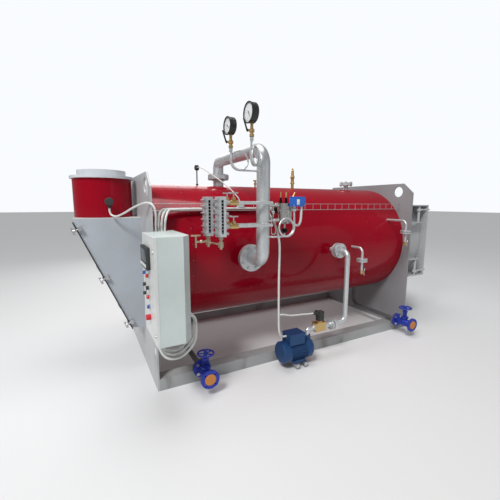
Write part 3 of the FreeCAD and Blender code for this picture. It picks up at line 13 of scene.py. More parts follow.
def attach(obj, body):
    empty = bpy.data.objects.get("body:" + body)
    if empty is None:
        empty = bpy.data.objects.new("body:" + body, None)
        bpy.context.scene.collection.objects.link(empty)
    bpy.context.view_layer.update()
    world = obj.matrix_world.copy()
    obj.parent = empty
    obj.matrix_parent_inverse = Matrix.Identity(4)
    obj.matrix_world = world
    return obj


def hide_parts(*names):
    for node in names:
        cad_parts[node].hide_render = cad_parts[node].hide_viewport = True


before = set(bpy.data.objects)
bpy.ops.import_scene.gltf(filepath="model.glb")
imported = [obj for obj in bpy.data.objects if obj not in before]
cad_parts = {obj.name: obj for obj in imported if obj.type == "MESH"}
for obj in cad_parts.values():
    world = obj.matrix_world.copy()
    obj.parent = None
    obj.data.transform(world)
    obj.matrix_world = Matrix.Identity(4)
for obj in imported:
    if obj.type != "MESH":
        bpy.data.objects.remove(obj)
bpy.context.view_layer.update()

LOG = logging.getLogger("boiler")
Point = tuple[float, float, float]
Colour = tuple[float, float, float]
MM = 0.001
UP = Vector((0, 0, 1))
FRONT = Vector((0, -1, 0))
WEST = Vector((-1, 0, 0))


def mm(x: float, y: float, z: float) -> Vector:
    """A point given in millimetres, in metres."""
    return Vector((x, y, z)) * MM


class Body(Enum):
    """The rigid bodies that new pieces ride on."""

    BOILER = "boiler"
    CABINET_DOOR = "cabinet_door"


# ---------------------------------------------------------------- shader maths

class Value:
    """A shader value whose operators add Math nodes."""

    def __init__(self, shade: "Shade", socket: bpy.types.NodeSocket) -> None:
        """Wraps one output socket."""
        self.shade = shade
        self.socket = socket

    def math(self, operation: str, *others: Union["Value", float], first: bool = True) -> "Value":
        """Joins this value to others with one Math node.

        Args:
            operation: The Math node's operation.
            others: The other operands.
            first: Whether this value is the first operand.

        Returns:
            The node's result.
        """
        operands = [self, *others] if first else [*others, self]
        made = self.shade.node("ShaderNodeMath", {"operation": operation}, dict(enumerate(operands)))
        return Value(self.shade, made.outputs[0])

    def __add__(self, other: Union["Value", float]) -> "Value":
        """Sum."""
        return self.math("ADD", other)

    __radd__ = __add__

    def __mul__(self, other: Union["Value", float]) -> "Value":
        """Product."""
        return self.math("MULTIPLY", other)

    __rmul__ = __mul__

    def __sub__(self, other: Union["Value", float]) -> "Value":
        """Difference."""
        return self.math("SUBTRACT", other)

    def __rsub__(self, other: float) -> "Value":
        """Difference from a number."""
        return self.math("SUBTRACT", other, first=False)

    def __lt__(self, other: Union["Value", float]) -> "Value":
        """One where this value is the smaller, and zero elsewhere."""
        return self.math("LESS_THAN", other)

    def __gt__(self, other: Union["Value", float]) -> "Value":
        """One where this value is the larger, and zero elsewhere."""
        return self.math("GREATER_THAN", other)

    def __abs__(self) -> "Value":
        """Absolute value."""
        return self.math("ABSOLUTE")

    def near(self, place: float, reach: float) -> "Value":
        """One within reach of a place, and zero elsewhere."""
        return abs(self - place) < reach

    def ramp(self, low: float, high: float) -> "Value":
        """Zero below low, one above high, smooth between."""
        made = self.shade.node("ShaderNodeMapRange", {"interpolation_type": "SMOOTHSTEP"},
                               {"Value": self, "From Min": low, "From Max": high})
        return Value(self.shade, made.outputs[0])


class Shade:
    """One procedural material while it is built."""

    def __init__(self, name: str) -> None:
        """Starts a material with only its output and one principled shader."""
        self.material = bpy.data.materials.new(name)
        self.material.use_nodes = True
        self.tree = self.material.node_tree
        self.tree.nodes.clear()
        self.shader = self.node("ShaderNodeBsdfPrincipled")
        self.node("ShaderNodeOutputMaterial", values={"Surface": self.shader.outputs[0]})
        place = self.node("ShaderNodeTexCoord").outputs["Object"]
        self.place = place
        split = self.node("ShaderNodeSeparateXYZ", values={0: place})
        self.x, self.y, self.z = (Value(self, socket) for socket in split.outputs)

    def node(self, kind: str, settings: Optional[dict] = None,
             values: Optional[dict] = None) -> bpy.types.Node:
        """Adds a node.

        Args:
            kind: The node's type.
            settings: Properties of the node, set first.
            values: Values or links for its inputs, by name or number.

        Returns:
            The node.
        """
        made = self.tree.nodes.new(kind)
        for key, setting in (settings or {}).items():
            setattr(made, key, setting)
        for key, given in (values or {}).items():
            target = made.inputs[key]
            source = given.socket if isinstance(given, Value) else given
            if isinstance(source, bpy.types.NodeSocket):
                self.tree.links.new(source, target)
            else:
                target.default_value = source
        return made

    def stretched(self, stretch: Point) -> bpy.types.NodeSocket:
        """Object coordinates multiplied along each axis."""
        return self.node("ShaderNodeMapping", values={"Vector": self.place, "Scale": stretch}).outputs[0]

    def noise(self, scale: float, detail: float = 3.0, stretch: Point = (1.0, 1.0, 1.0)) -> Value:
        """Noise of a given scale over object coordinates."""
        made = self.node("ShaderNodeTexNoise", values={
            "Vector": self.stretched(stretch), "Scale": scale, "Detail": detail})
        return Value(self, made.outputs[0])

    def specks(self, scale: float) -> Value:
        """Distance to the nearest of scattered points."""
        made = self.node("ShaderNodeTexVoronoi", values={"Vector": self.place, "Scale": scale})
        return Value(self, made.outputs[0])

    def mix(self, mask: Value, first: Union[Colour, bpy.types.NodeSocket],
            second: Union[Colour, bpy.types.NodeSocket]) -> bpy.types.NodeSocket:
        """Mixes two colours by a mask."""
        made = self.node("ShaderNodeMix", {"data_type": "RGBA"})
        for index, given in ((6, first), (7, second)):
            if isinstance(given, bpy.types.NodeSocket):
                self.tree.links.new(given, made.inputs[index])
            else:
                made.inputs[index].default_value = (*given, 1.0)
        self.tree.links.new(mask.socket, made.inputs[0])
        return made.outputs[2]

    def feed(self, socket: str, given: Union[Value, bpy.types.NodeSocket, float, tuple[float, ...]]) -> None:
        """Sets or links one input of the shader."""
        target = self.shader.inputs[socket]
        source = given.socket if isinstance(given, Value) else given
        if isinstance(source, bpy.types.NodeSocket):
            self.tree.links.new(source, target)
        else:
            target.default_value = source

    def bump(self, height: Value, distance: float, strength: float = 0.5) -> None:
        """Feeds a bump of a given depth to the shader."""
        made = self.node("ShaderNodeBump", values={
            "Height": height, "Distance": distance, "Strength": strength})
        self.feed("Normal", made.outputs[0])


def tinted(colour: Colour, factor: float) -> Colour:
    """A colour made lighter or darker."""
    return tuple(min(1.0, channel * factor) for channel in colour)


# ---------------------------------------------------------------- finishes

GRIME = tinted((0.20, 0.18, 0.16), 0.8)
PALE_DUST = (0.36, 0.34, 0.31)
PINK_DUST = (0.32, 0.14, 0.14)
CONDUIT_GRIME = (0.34, 0.32, 0.29)
PAINT_COAT_ROUGHNESS = 0.12
JACKET_COAT_ROUGHNESS = 0.09
JACKET_COAT = 0.38
JACKET_SPECULAR = 0.04
GRIME_TOP = 0.55
SEAM_REACH = 0.0018
SEAM_LAP_REACH = 0.0014
PLAIN_LAP_REACH = 0.0015


@dataclass(frozen=True)
class Finish:
    """A finish that builds its material once.

    Subclasses say how the surface varies.
    """

    name: str
    colour: Colour
    rough: float = 0.5
    second: Colour = (0.02, 0.02, 0.02)
    split: Optional[Callable[[Shade], Value]] = None

    def material(self) -> bpy.types.Material:
        """The finish's material, built at its first use."""
        found = bpy.data.materials.get(self.name)
        if found:
            return found
        shade = Shade(self.name)
        self.build(shade)
        return shade.material

    def base(self, shade: Shade, mottle: Value, spread: float) -> bpy.types.NodeSocket:
        """The base colour with a mottle, and the second colour where the split says."""
        plain = shade.mix(mottle, tinted(self.colour, 1.0 - spread), tinted(self.colour, 1.0 + spread))
        if self.split is None:
            return plain
        return shade.mix(self.split(shade), plain, self.second)

    def build(self, shade: Shade) -> None:
        """Adds the finish's nodes."""
        raise NotImplementedError


@dataclass(frozen=True)
class Paint(Finish):
    """Sprayed paint: a soft mottle, orange peel and scuffs near the floor."""

    coat: float = 0.1
    grime: float = 0.35

    def build(self, shade: Shade) -> None:
        """Adds the paint's nodes."""
        cloud = shade.noise(2.3, 4.0)
        colour = self.base(shade, cloud.ramp(0.3, 0.7), 0.07)
        stains = shade.noise(5.0, 6.0, (1.0, 1.0, 0.35)).ramp(0.56, 0.78)
        low = 1.0 - shade.z.ramp(0.0, GRIME_TOP)
        dirt = stains * (0.25 + low * 0.75) * self.grime
        shade.feed("Base Color", shade.mix(dirt, colour, GRIME))
        shade.feed("Roughness", self.rough + (cloud - 0.5) * 0.12 + dirt * 0.2)
        shade.feed("Coat Weight", self.coat)
        shade.feed("Coat Roughness", PAINT_COAT_ROUGHNESS)
        shade.bump(shade.noise(420.0, 2.0) + shade.noise(7.0, 2.0) * 1.5, 0.0004, 0.35)


@dataclass(frozen=True)
class JacketPaint(Finish):
    """Deep gloss paint on rolled sheet, with lapped seams round it and one along it."""

    seams: tuple[float, ...] = ()
    lap_height: float = 0.0

    def lines(self, shade: Shade) -> Value:
        """One on the seams round the sheet and on the lap along it, and zero elsewhere."""
        if not self.seams:
            return shade.z.near(self.lap_height, PLAIN_LAP_REACH)
        marked = shade.x.near(self.seams[0], SEAM_REACH)
        for place in self.seams[1:]:
            marked = marked.math("MAXIMUM", shade.x.near(place, SEAM_REACH))
        return marked.math("MAXIMUM", shade.z.near(self.lap_height, SEAM_LAP_REACH) * (shade.y < 0.0))

    def build(self, shade: Shade) -> None:
        """Adds the jacket's nodes."""
        wave = shade.noise(1.4, 2.0, (0.5, 1.0, 1.0))
        colour = self.base(shade, wave.ramp(0.3, 0.7), 0.10)
        seam = self.lines(shade)
        colour = shade.mix(seam * 0.75, colour, tinted(self.colour, 0.12))
        dust = shade.specks(55.0).ramp(0.02, 0.07)
        shade.feed("Base Color", shade.mix((1.0 - dust) * 0.20, colour, PINK_DUST))
        shade.feed("Roughness", self.rough + (shade.noise(9.0, 5.0) - 0.5) * 0.14)
        shade.feed("Coat Weight", JACKET_COAT)
        shade.feed("Coat Roughness", JACKET_COAT_ROUGHNESS)
        shade.feed("Specular IOR Level", JACKET_SPECULAR)
        shade.bump(wave * 6.0 + shade.noise(5.0, 1.0) * 1.2 - seam * 0.6, 0.002, 0.4)


@dataclass(frozen=True)
class Metal(Finish):
    """Bare or silvered metal with fine scratches and duller patches."""

    grain: Point = (1.0, 1.0, 1.0)
    metallic: float = 0.9
    tarnish: Colour = (0.16, 0.14, 0.12)

    def build(self, shade: Shade) -> None:
        """Adds the metal's nodes."""
        patches = shade.noise(14.0, 5.0)
        lines = shade.noise(160.0, 3.0, self.grain)
        colour = self.base(shade, lines.ramp(0.35, 0.65), 0.10)
        colour = shade.mix(patches.ramp(0.55, 0.80) * 0.35, colour, self.tarnish)
        shade.feed("Base Color", colour)
        shade.feed("Metallic", self.metallic)
        shade.feed("Roughness", self.rough + (patches - 0.5) * 0.25 + (lines - 0.5) * 0.10)
        shade.bump(lines + shade.noise(40.0, 2.0) * 0.8, 0.0003, 0.4)


@dataclass(frozen=True)
class Plastic(Finish):
    """Moulded plastic with a fine texture and a little dust."""

    grain: float = 600.0

    def build(self, shade: Shade) -> None:
        """Adds the plastic's nodes."""
        cloud = shade.noise(20.0, 3.0)
        colour = self.base(shade, cloud.ramp(0.3, 0.7), 0.08)
        dust = shade.noise(60.0, 6.0).ramp(0.60, 0.80) * 0.25
        shade.feed("Base Color", shade.mix(dust, colour, PALE_DUST))
        shade.feed("Roughness", self.rough + dust * 0.5 + (cloud - 0.5) * 0.1)
        shade.bump(shade.noise(self.grain, 2.0), 0.0002, 0.35)


@dataclass(frozen=True)
class Plain(Finish):
    """One even colour without marks."""

    def build(self, shade: Shade) -> None:
        """Sets the colour and the roughness."""
        shade.feed("Base Color", (*self.colour, 1.0))
        shade.feed("Roughness", self.rough)


@dataclass(frozen=True)
class Conduit(Finish):
    """Pliable conduit: ribs round it that follow its length, and soft grime."""

    ribs: float = 260.0

    def build(self, shade: Shade) -> None:
        """Adds the conduit's nodes."""
        grime = shade.noise(26.0, 4.0)
        colour = self.base(shade, grime.ramp(0.35, 0.7), 0.06)
        shade.feed("Base Color", shade.mix(grime.ramp(0.58, 0.8) * 0.3, colour, CONDUIT_GRIME))
        shade.feed("Roughness", self.rough + (grime - 0.5) * 0.2)
        shade.bump(shade.noise(self.ribs, 1.0), 0.0004, 0.4)


SLOT_PLACES = (0.440, 0.385)
SLOT_REACH = 0.0084
SLOT_LOW = 1.282
SLOT_HIGH = 1.526
RUNGS_A_METRE = 42.0
RUNG_SHARE = 0.2


def painted_slot_shade(shade: Shade) -> Value:
    """Painted shade: near-black in the openings of the two level gauges' slots over their glass, between the
    rungs in front of it.
    """
    first, second = (shade.x.near(place, SLOT_REACH) for place in SLOT_PLACES)
    gaps = (shade.z * RUNGS_A_METRE).math("FRACT") > RUNG_SHARE
    return first.math("MAXIMUM", second) * gaps * (shade.z < SLOT_HIGH) * (shade.z > SLOT_LOW)


def above(height: float) -> Callable[[Shade], Value]:
    """A split that is one above a height."""
    return lambda shade: shade.z > height


def cover_edge(shade: Shade) -> Value:
    """The dark gasket edge on both sides of the smokebox cover."""
    return abs(shade.y) > 0.2715


def switch_leads(shade: Shade) -> Value:
    """The insulated lower part of the electrodes and the fittings below the pot."""
    return shade.z < 1.549


RED = (0.27, 0.0002, 0.010)
GREY = (0.44, 0.45, 0.46)


class Finishes:
    """Every finish on the boiler, by plain names."""

    jacket = JacketPaint("jacket_red", RED, 0.30, seams=(0.36, 1.02, 1.72, 2.42), lap_height=0.72)
    stub = JacketPaint("chimney_red", RED, 0.28, lap_height=1.38)
    plate = Paint("plate_grey", GREY, 0.42, grime=0.5)
    # Painted shade: a darker copy of the plate grey for the right end plate, whose inner face stands in
    # shade under the shell.
    shaded_plate = Paint("plate_painted_shade_grey", (0.25, 0.25, 0.26), 0.36, grime=0.6)
    beam = Paint("beam_grey", (0.34, 0.35, 0.35), 0.34, coat=0.3, grime=0.8)
    duct = Paint("smokebox_blue_grey", (0.41, 0.44, 0.48), 0.45, (0.62, 0.62, 0.60), above(1.3745))
    cover = Paint("cover_blue_grey", (0.41, 0.44, 0.48), 0.45, (0.02, 0.022, 0.025), cover_edge)
    collar = Paint("collar_grey", (0.56, 0.59, 0.62), 0.35)
    column = Metal("column_silver", (0.60, 0.62, 0.63), 0.36, metallic=0.60)
    pipe = Metal("pipe_silver", (0.60, 0.62, 0.63), 0.34, metallic=0.65)
    # The gauge frames' near-black second colour is painted shade in the slot openings between the rungs.
    gauge = Metal("gauge_silver", (0.62, 0.64, 0.65), 0.42, (0.012, 0.012, 0.014), painted_slot_shade, metallic=0.6)
    steel = Metal("plain_steel", (0.55, 0.55, 0.56), 0.32)
    rivet = Metal("rivet_dull", (0.20, 0.10, 0.10), 0.45, metallic=0.5)
    dark_steel = Metal("stained_steel", (0.22, 0.20, 0.19), 0.55)
    stainless = Metal("pot_stainless", (0.58, 0.57, 0.55), 0.24, grain=(0.1, 0.1, 1.0), metallic=1.0)
    brass = Metal("fitting_brass", (0.56, 0.41, 0.20), 0.32, tarnish=(0.26, 0.16, 0.07), metallic=0.9)
    pale_brass = Metal("drain_brass", (0.56, 0.48, 0.36), 0.34, tarnish=(0.28, 0.20, 0.12), metallic=0.9)
    probes = Metal("probe_brass", (0.74, 0.55, 0.22), 0.35, (0.015, 0.015, 0.016), switch_leads)
    cabinet = Paint("cabinet_pale_green", (0.55, 0.62, 0.60), 0.38, grime=0.25)
    door = Paint("door_off_white", (0.66, 0.68, 0.66), 0.38, grime=0.25)
    tag = Plastic("tag_white", (0.72, 0.73, 0.72), 0.45)
    black = Plastic("control_black", (0.018, 0.018, 0.02), 0.38)
    gauge_black = Plastic("gauge_black", (0.010, 0.010, 0.011), 0.16, grain=1500.0)
    red_lens = Plastic("lamp_red", (0.55, 0.02, 0.03), 0.22, grain=1500.0)
    blue_lens = Plastic("lamp_blue", (0.03, 0.09, 0.36), 0.22, grain=1500.0)
    screen = Plastic("screen_dark", (0.03, 0.045, 0.05), 0.12, grain=1500.0)
    dial = Plastic("dial_white", (0.78, 0.80, 0.80), 0.30, grain=1500.0)
    switch = Plastic("switch_blue", (0.012, 0.085, 0.46), 0.30)
    valve = Paint("valve_blue", (0.018, 0.03, 0.28), 0.32, coat=0.5, grime=0.3)
    pump = Paint("pump_blue", (0.012, 0.055, 0.17), 0.36, coat=0.4, grime=0.35)
    cap = Plastic("cap_orange", (0.55, 0.20, 0.045), 0.55)
    drain = Paint("drain_dark", (0.10, 0.10, 0.105), 0.40)
    conduit = Conduit("conduit_pale", (0.63, 0.64, 0.62), 0.48)


NODE_FINISHES: dict[str, Finish] = {
    # The right end plate takes the darker plate grey, which is painted shade.
    "left_end_plate": Finishes.plate, "right_end_plate": Finishes.shaded_plate,
    "front_skid_beam": Finishes.beam, "rear_skid_beam": Finishes.beam,
    "shell_jacket": Finishes.jacket, "chimney_stub": Finishes.stub, "furnace_tube": Finishes.dark_steel,
    "smokebox": Finishes.duct, "smokebox_cover": Finishes.cover, "cover_clamps": Finishes.steel,
    "flue_collar": Finishes.collar, "flue_sensor": Finishes.black, "steam_column": Finishes.column,
    "gauge_frames": Finishes.gauge, "gauge_pipes": Finishes.pipe, "gauge_drains": Finishes.pale_brass,
    **{f"gauge_handle_{row}_{level}": Finishes.steel
       for row in ("front", "rear") for level in ("upper", "lower")},
    "gauge_valves": Finishes.brass, "small_cock_lever": Finishes.gauge_black,
    "large_cock_lever": Finishes.gauge_black, "small_pressure_gauge": Finishes.gauge_black,
    "large_pressure_gauge": Finishes.gauge_black, "electrode_chamber": Finishes.stainless,
    "electrodes": Finishes.probes, "top_valves": Finishes.brass, "shell_sensor": Finishes.black,
    "cabinet_duct": Finishes.cabinet, "cabinet_door": Finishes.door, "control_cabinet": Finishes.cabinet,
    "feed_pump": Finishes.pump, "pump_rails": Finishes.steel, "feed_line": Finishes.pipe,
    "shell_nozzles": Finishes.column, "solenoid_valve": Finishes.brass, "solenoid_coil": Finishes.black,
    "sample_lines": Finishes.pipe, "sample_cocks": Finishes.brass, "sample_lever_middle": Finishes.steel,
    "sample_lever_right": Finishes.steel, "blowdown_pipes": Finishes.drain,
    "blowdown_valves": Finishes.valve, "handwheel_left": Finishes.valve, "handwheel_right": Finishes.valve,
    "blowdown_caps": Finishes.cap, "burner_frame": Finishes.plate, "burner_door": Finishes.plate,
    "fasteners": Finishes.steel,
}


# ---------------------------------------------------------------- meshes

class Form:
    """A mesh gathered from closed turned, boxed and swept solids."""

    def __init__(self) -> None:
        """Starts with nothing."""
        self.mesh = bmesh.new()

    def rings(self, loops: Sequence[Sequence[Vector]]) -> None:
        """Joins loops of points by quads and closes both ends.

        Args:
            loops: Loops with as many points each, from one end to the other.
        """
        rows = [[self.mesh.verts.new(point) for point in loop] for loop in loops]
        count = len(rows[0])
        for lower, upper in zip(rows, rows[1:]):
            for index in range(count):
                after = (index + 1) % count
                self.mesh.faces.new((lower[index], lower[after], upper[after], upper[index]))
        self.mesh.faces.new(list(reversed(rows[0])))
        self.mesh.faces.new(rows[-1])

    def turned(self, profile: Sequence[tuple[float, float]], base: Vector, axis: Vector,
               sides: int = 40) -> None:
        """Adds a turned solid.

        Args:
            profile: Radius and height of each ring, in metres, from one end to the other.
            base: Where height is zero.
            axis: The way height grows.
            sides: How many sides each ring has.
        """
        turn = axis.to_track_quat("Z", "Y")
        self.rings([[base + turn @ Vector((radius * math.cos(math.tau * index / sides),
                                           radius * math.sin(math.tau * index / sides), height))
                     for index in range(sides)] for radius, height in profile])

    def rod(self, start: Vector, end: Vector, radius: float, sides: int = 16) -> None:
        """Adds a round bar with slightly broken edges."""
        length = (end - start).length
        edge = min(radius, length) * 0.12
        self.turned([(radius - edge, 0.0), (radius, edge), (radius, length - edge), (radius - edge, length)],
                    start, end - start, sides)

    def block(self, low: Vector, high: Vector, edge: float = 0.0008, segments: int = 2) -> None:
        """Adds a box with rounded edges."""
        made = bmesh.ops.create_cube(self.mesh, size=1.0)
        size = high - low
        middle = (low + high) / 2
        for vertex in made["verts"]:
            vertex.co = Vector((vertex.co.x * size.x, vertex.co.y * size.y, vertex.co.z * size.z)) + middle
        sides = list(dict.fromkeys(side for vertex in made["verts"] for side in vertex.link_edges))
        bmesh.ops.bevel(self.mesh, geom=sides, offset=edge, segments=segments, affect="EDGES", profile=0.5)

    def tube(self, path: Sequence[Vector], radius: float, sides: int = 16) -> None:
        """Adds a round tube that follows a dense path."""
        loops = []
        side = (path[1] - path[0]).orthogonal().normalized()
        for index, point in enumerate(path):
            before = path[max(index - 1, 0)]
            after = path[min(index + 1, len(path) - 1)]
            way = (after - before).normalized()
            side = (side - way * side.dot(way)).normalized()
            other = way.cross(side)
            angles = [math.tau * index / sides for index in range(sides)]
            loops.append([point + (side * math.cos(angle) + other * math.sin(angle)) * radius
                          for angle in angles])
        self.rings(loops)

    def object(self, name: str, finish: Finish, angle: float = 35.0) -> bpy.types.Object:
        """Turns the form into an object at the origin.

        Args:
            name: The object's name.
            finish: The finish on all of it.
            angle: Edges sharper than this many degrees stay sharp.

        Returns:
            The object, not yet on a body.
        """
        bmesh.ops.recalc_face_normals(self.mesh, faces=self.mesh.faces)
        data = bpy.data.meshes.new(name)
        self.mesh.to_mesh(data)
        self.mesh.free()
        data.shade_smooth()
        data.set_sharp_from_angle(angle=math.radians(angle))
        data.materials.append(finish.material())
        made = bpy.data.objects.new(name, data)
        bpy.context.scene.collection.objects.link(made)
        return made


class Repeater:
    """A Geometry Nodes tree that repeats a piece along a row or round a centre."""

    def __init__(self) -> None:
        """Builds the tree with its named inputs."""
        self.tree = bpy.data.node_groups.new("repeat_piece", "GeometryNodeTree")
        face = self.tree.interface
        face.new_socket("Piece", in_out="INPUT", socket_type="NodeSocketGeometry")
        self.inputs = {
            "Count": face.new_socket("Count", in_out="INPUT", socket_type="NodeSocketInt").identifier,
            "Step": face.new_socket("Step", in_out="INPUT", socket_type="NodeSocketVector").identifier,
            "Turn": face.new_socket("Turn", in_out="INPUT", socket_type="NodeSocketVector").identifier,
            "Finish": face.new_socket("Finish", in_out="INPUT", socket_type="NodeSocketMaterial").identifier,
        }
        face.new_socket("Pieces", in_out="OUTPUT", socket_type="NodeSocketGeometry")
        given = self.tree.nodes.new("NodeGroupInput")
        line = self.add("GeometryNodeMeshLine", {
            "Count": given.outputs["Count"], "Offset": given.outputs["Step"]})
        turn = self.tree.nodes.new("ShaderNodeVectorMath")
        turn.operation = "SCALE"
        self.tree.links.new(given.outputs["Turn"], turn.inputs[0])
        self.tree.links.new(self.add("GeometryNodeInputIndex", {}).outputs[0], turn.inputs["Scale"])
        copies = self.add("GeometryNodeInstanceOnPoints", {
            "Points": line.outputs[0], "Instance": given.outputs["Piece"], "Rotation": turn.outputs[0]})
        solid = self.add("GeometryNodeRealizeInstances", {"Geometry": copies.outputs[0]})
        dressed = self.add("GeometryNodeSetMaterial", {
            "Geometry": solid.outputs[0], "Material": given.outputs["Finish"]})
        result = self.tree.nodes.new("NodeGroupOutput")
        self.tree.links.new(dressed.outputs[0], result.inputs[0])

    def add(self, kind: str, links: dict[str, bpy.types.NodeSocket]) -> bpy.types.Node:
        """Adds a node and its links."""
        made = self.tree.nodes.new(kind)
        for name, source in links.items():
            self.tree.links.new(source, made.inputs[name])
        return made

    def repeat(self, piece: bpy.types.Object, count: int, finish: Finish, step: Point = (0.0, 0.0, 0.0),
               turn: Point = (0.0, 0.0, 0.0), place: Optional[Matrix] = None) -> bpy.types.Object:
        """Repeats a piece and leaves one plain mesh.

        Args:
            piece: The single piece, made about the origin.
            count: How many copies.
            finish: The finish on every copy.
            step: The shift from one copy to the next.
            turn: The turn from one copy to the next, in radians about each axis.
            place: Where the origin of the row goes.

        Returns:
            The same object with the repeated mesh.
        """
        modifier = piece.modifiers.new("repeat", "NODES")
        modifier.node_group = self.tree
        modifier[self.inputs["Count"]] = count
        modifier[self.inputs["Step"]] = step
        modifier[self.inputs["Turn"]] = turn
        modifier[self.inputs["Finish"]] = finish.material()
        graph = bpy.context.evaluated_depsgraph_get()
        mesh = bpy.data.meshes.new_from_object(piece.evaluated_get(graph))
        piece.modifiers.clear()
        piece.data = mesh
        if place is not None:
            mesh.transform(place)
        return piece


def joined_on(piece: bpy.types.Object, body: Body, slot: str, *replaced: str) -> bpy.types.Object:
    """Puts a finished piece on its body.

    Args:
        piece: The finished object.
        body: The body it rides on.
        slot: The material slot it stands for; not used.
        replaced: CAD nodes that it stands for.

    Returns:
        The same object.
    """
    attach(piece, body.value)
    if replaced:
        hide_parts(*replaced)
    LOG.info("%s on %s, %d faces", piece.name, body.value, len(getattr(piece.data, "polygons", ())))
    return piece


# ---------------------------------------------------------------- camera and conduits

@dataclass(frozen=True)
class Viewpoint:
    """The camera: a wide lens low in front of the flue end."""

    place: Point = (-0.4335, -3.1485, 1.500)
    tilt: float = 81.6
    roll: float = -0.13
    heading: float = -27.62
    lens: float = 22.67

    def build(self) -> None:
        """Creates the scene's camera."""
        data = bpy.data.cameras.new("viewpoint")
        data.lens = self.lens
        data.sensor_width = 36.0
        made = bpy.data.objects.new("viewpoint", data)
        made.location = self.place
        made.rotation_euler = [math.radians(angle) for angle in (self.tilt, self.roll, self.heading)]
        bpy.context.scene.collection.objects.link(made)
        bpy.context.scene.camera = made


@dataclass(frozen=True)
class Lead:
    """One conduit with its route in millimetres."""

    name: str
    points: tuple[Point, ...]
    radius: float
    length: float
    nodes: tuple[str, ...] = ()
    stiffness: str = "medium"

    def build(self) -> bpy.types.Object:
        data = bpy.data.curves.new(self.name, "CURVE")
        data.dimensions = "3D"
        data.resolution_u = 10
        spline = data.splines.new("NURBS")
        spline.points.add(len(self.points) - 1)
        for knot, point in zip(spline.points, self.points):
            knot.co = (*mm(*point), 1.0)
        spline.order_u = 3
        spline.use_endpoint_u = True
        data.bevel_depth = self.radius * MM
        data.bevel_resolution = 4
        data.use_fill_caps = True
        data.materials.append(Finishes.conduit.material())
        made = bpy.data.objects.new(self.name, data)
        bpy.context.scene.collection.objects.link(made)
        joined_on(made, Body.BOILER, "conduit_grey", *self.nodes)
        return made


LANE_LEVEL = 1456.0
SEAL_LEVEL = 1287.0
LOOP_RIGHT = 248.0
LOOP_END = 179.0
CABLE_RADIUS = 9.5
TRAY_LENGTHS = (1.100, 1.014, 0.930)
LOOP_LENGTHS = (0.690, 0.644, 0.601)


def tray_lead(lane: int, across: float, depth: float, side: float, end: float) -> Lead:
    """One conduit from the cabinet duct's seal into the tray."""
    return Lead(f"tray_lead_{lane}", (
        (across, depth, SEAL_LEVEL), (across, depth, 1388 - 20 * lane),
        (across + 33, depth + 42, 1448 - 6 * lane), (across + 116 - 12 * lane, side, LANE_LEVEL),
        (end, side, LANE_LEVEL)), CABLE_RADIUS, TRAY_LENGTHS[lane], ("tray_conduits",), "stiff")


def cabinet_loop(lane: int) -> Lead:
    """One slack loop under the cabinet."""
    side = -990.0 + 26 * lane
    left = -28.0 + 14 * lane
    low = 376.0 + 20 * lane
    return Lead(f"cabinet_loop_{lane}", (
        (left, side, 568), (left, side, 506), (left + 18, side, 442), (left + 62, side, low + 12),
        (118, side, low), (184, side, low + 40), (LOOP_RIGHT - 10, side, low + 100),
        (LOOP_RIGHT + 1, side, 560), (LOOP_RIGHT, side, 615), (LOOP_RIGHT - 2, side, 651),
        (LOOP_RIGHT - 15, side, 677), (LOOP_RIGHT - 39.5, side, 691), (LOOP_END, side, 691)),
        CABLE_RADIUS, LOOP_LENGTHS[lane], ("cabinet_loops",))


LEADS: tuple[Lead, ...] = (
    Lead("flue_lead", (
        (-248, -306, 1460), (-248, -306, 1424), (-232, -318, 1398), (-200, -350, 1390), (-152, -425, 1418),
        (-100, -530, 1462), (-52, -640, 1494), (-24, -724, 1506), (8, -764, 1497), (28, -776, 1456),
        (35, -758, 1408), (38, -724, 1362), (37, -711, 1321), (37, -711, SEAL_LEVEL)),
        8.0, 0.819, ("flue_conduit",)),
    Lead("shell_lead", (
        (605, -24, 1856), (605, -70, 1856), (624, -140, 1836), (654, -222, 1792), (694, -320, 1736),
        (734, -415, 1678), (768, -495, 1618), (796, -538, 1570), (822, -549, 1530), (822, -549, 1490)),
        5.0, 0.717, ("shell_conduit",)),
    Lead("pump_lead", (
        (930, -537, LANE_LEVEL), (1008, -537, LANE_LEVEL), (1037, -598, 1458), (1039, -660, 1436),
        (1037, -722, 1400), (1033, -785, 1352), (1026, -860, 1278), (1024, -908, 1180), (1022, -915, 1060),
        (1018, -914, 860), (1020, -916, 640), (1022, -915, 480), (1030, -910, 390), (1050, -902, 334),
        (1082, -893, 308), (1119, -893, 308)), CABLE_RADIUS, 1.489, ("pump_conduits",)),
    Lead("solenoid_lead", (
        (1031.3, -915, 530), (1072, -915, 530), (1124, -911, 508), (1204, -904, 494), (1300, -896, 486),
        (1380, -888, 472), (1427, -888, 472)), 8.0, 0.402, ("pump_conduits",)),
    Lead("switch_lead", (
        (980, -516, LANE_LEVEL), (1040, -516, LANE_LEVEL), (1082, -542, 1460), (1100, -596, 1464),
        (1114, -670, 1452), (1130, -760, 1416), (1142, -850, 1366), (1148, -926, 1328), (1147, -992, 1312),
        (1143, -1034, 1348), (1140, -1046, 1410), (1140, -1046, 1477)), CABLE_RADIUS, 0.771,
        ("chamber_conduits",)),
    Lead("chamber_lead", (
        (880, -558, LANE_LEVEL), (977, -558, LANE_LEVEL), (1006, -612, 1458), (1008, -690, 1452),
        (1012, -770, 1445), (1012, -850, 1445)), CABLE_RADIUS, 0.386, ("chamber_conduits",)),
    tray_lead(0, 62, -688, -516, 980), tray_lead(1, 85, -694, -537, 930), tray_lead(2, 108, -700, -558, 880),
    cabinet_loop(0), cabinet_loop(1), cabinet_loop(2),
)


# ---------------------------------------------------------------- fine pieces

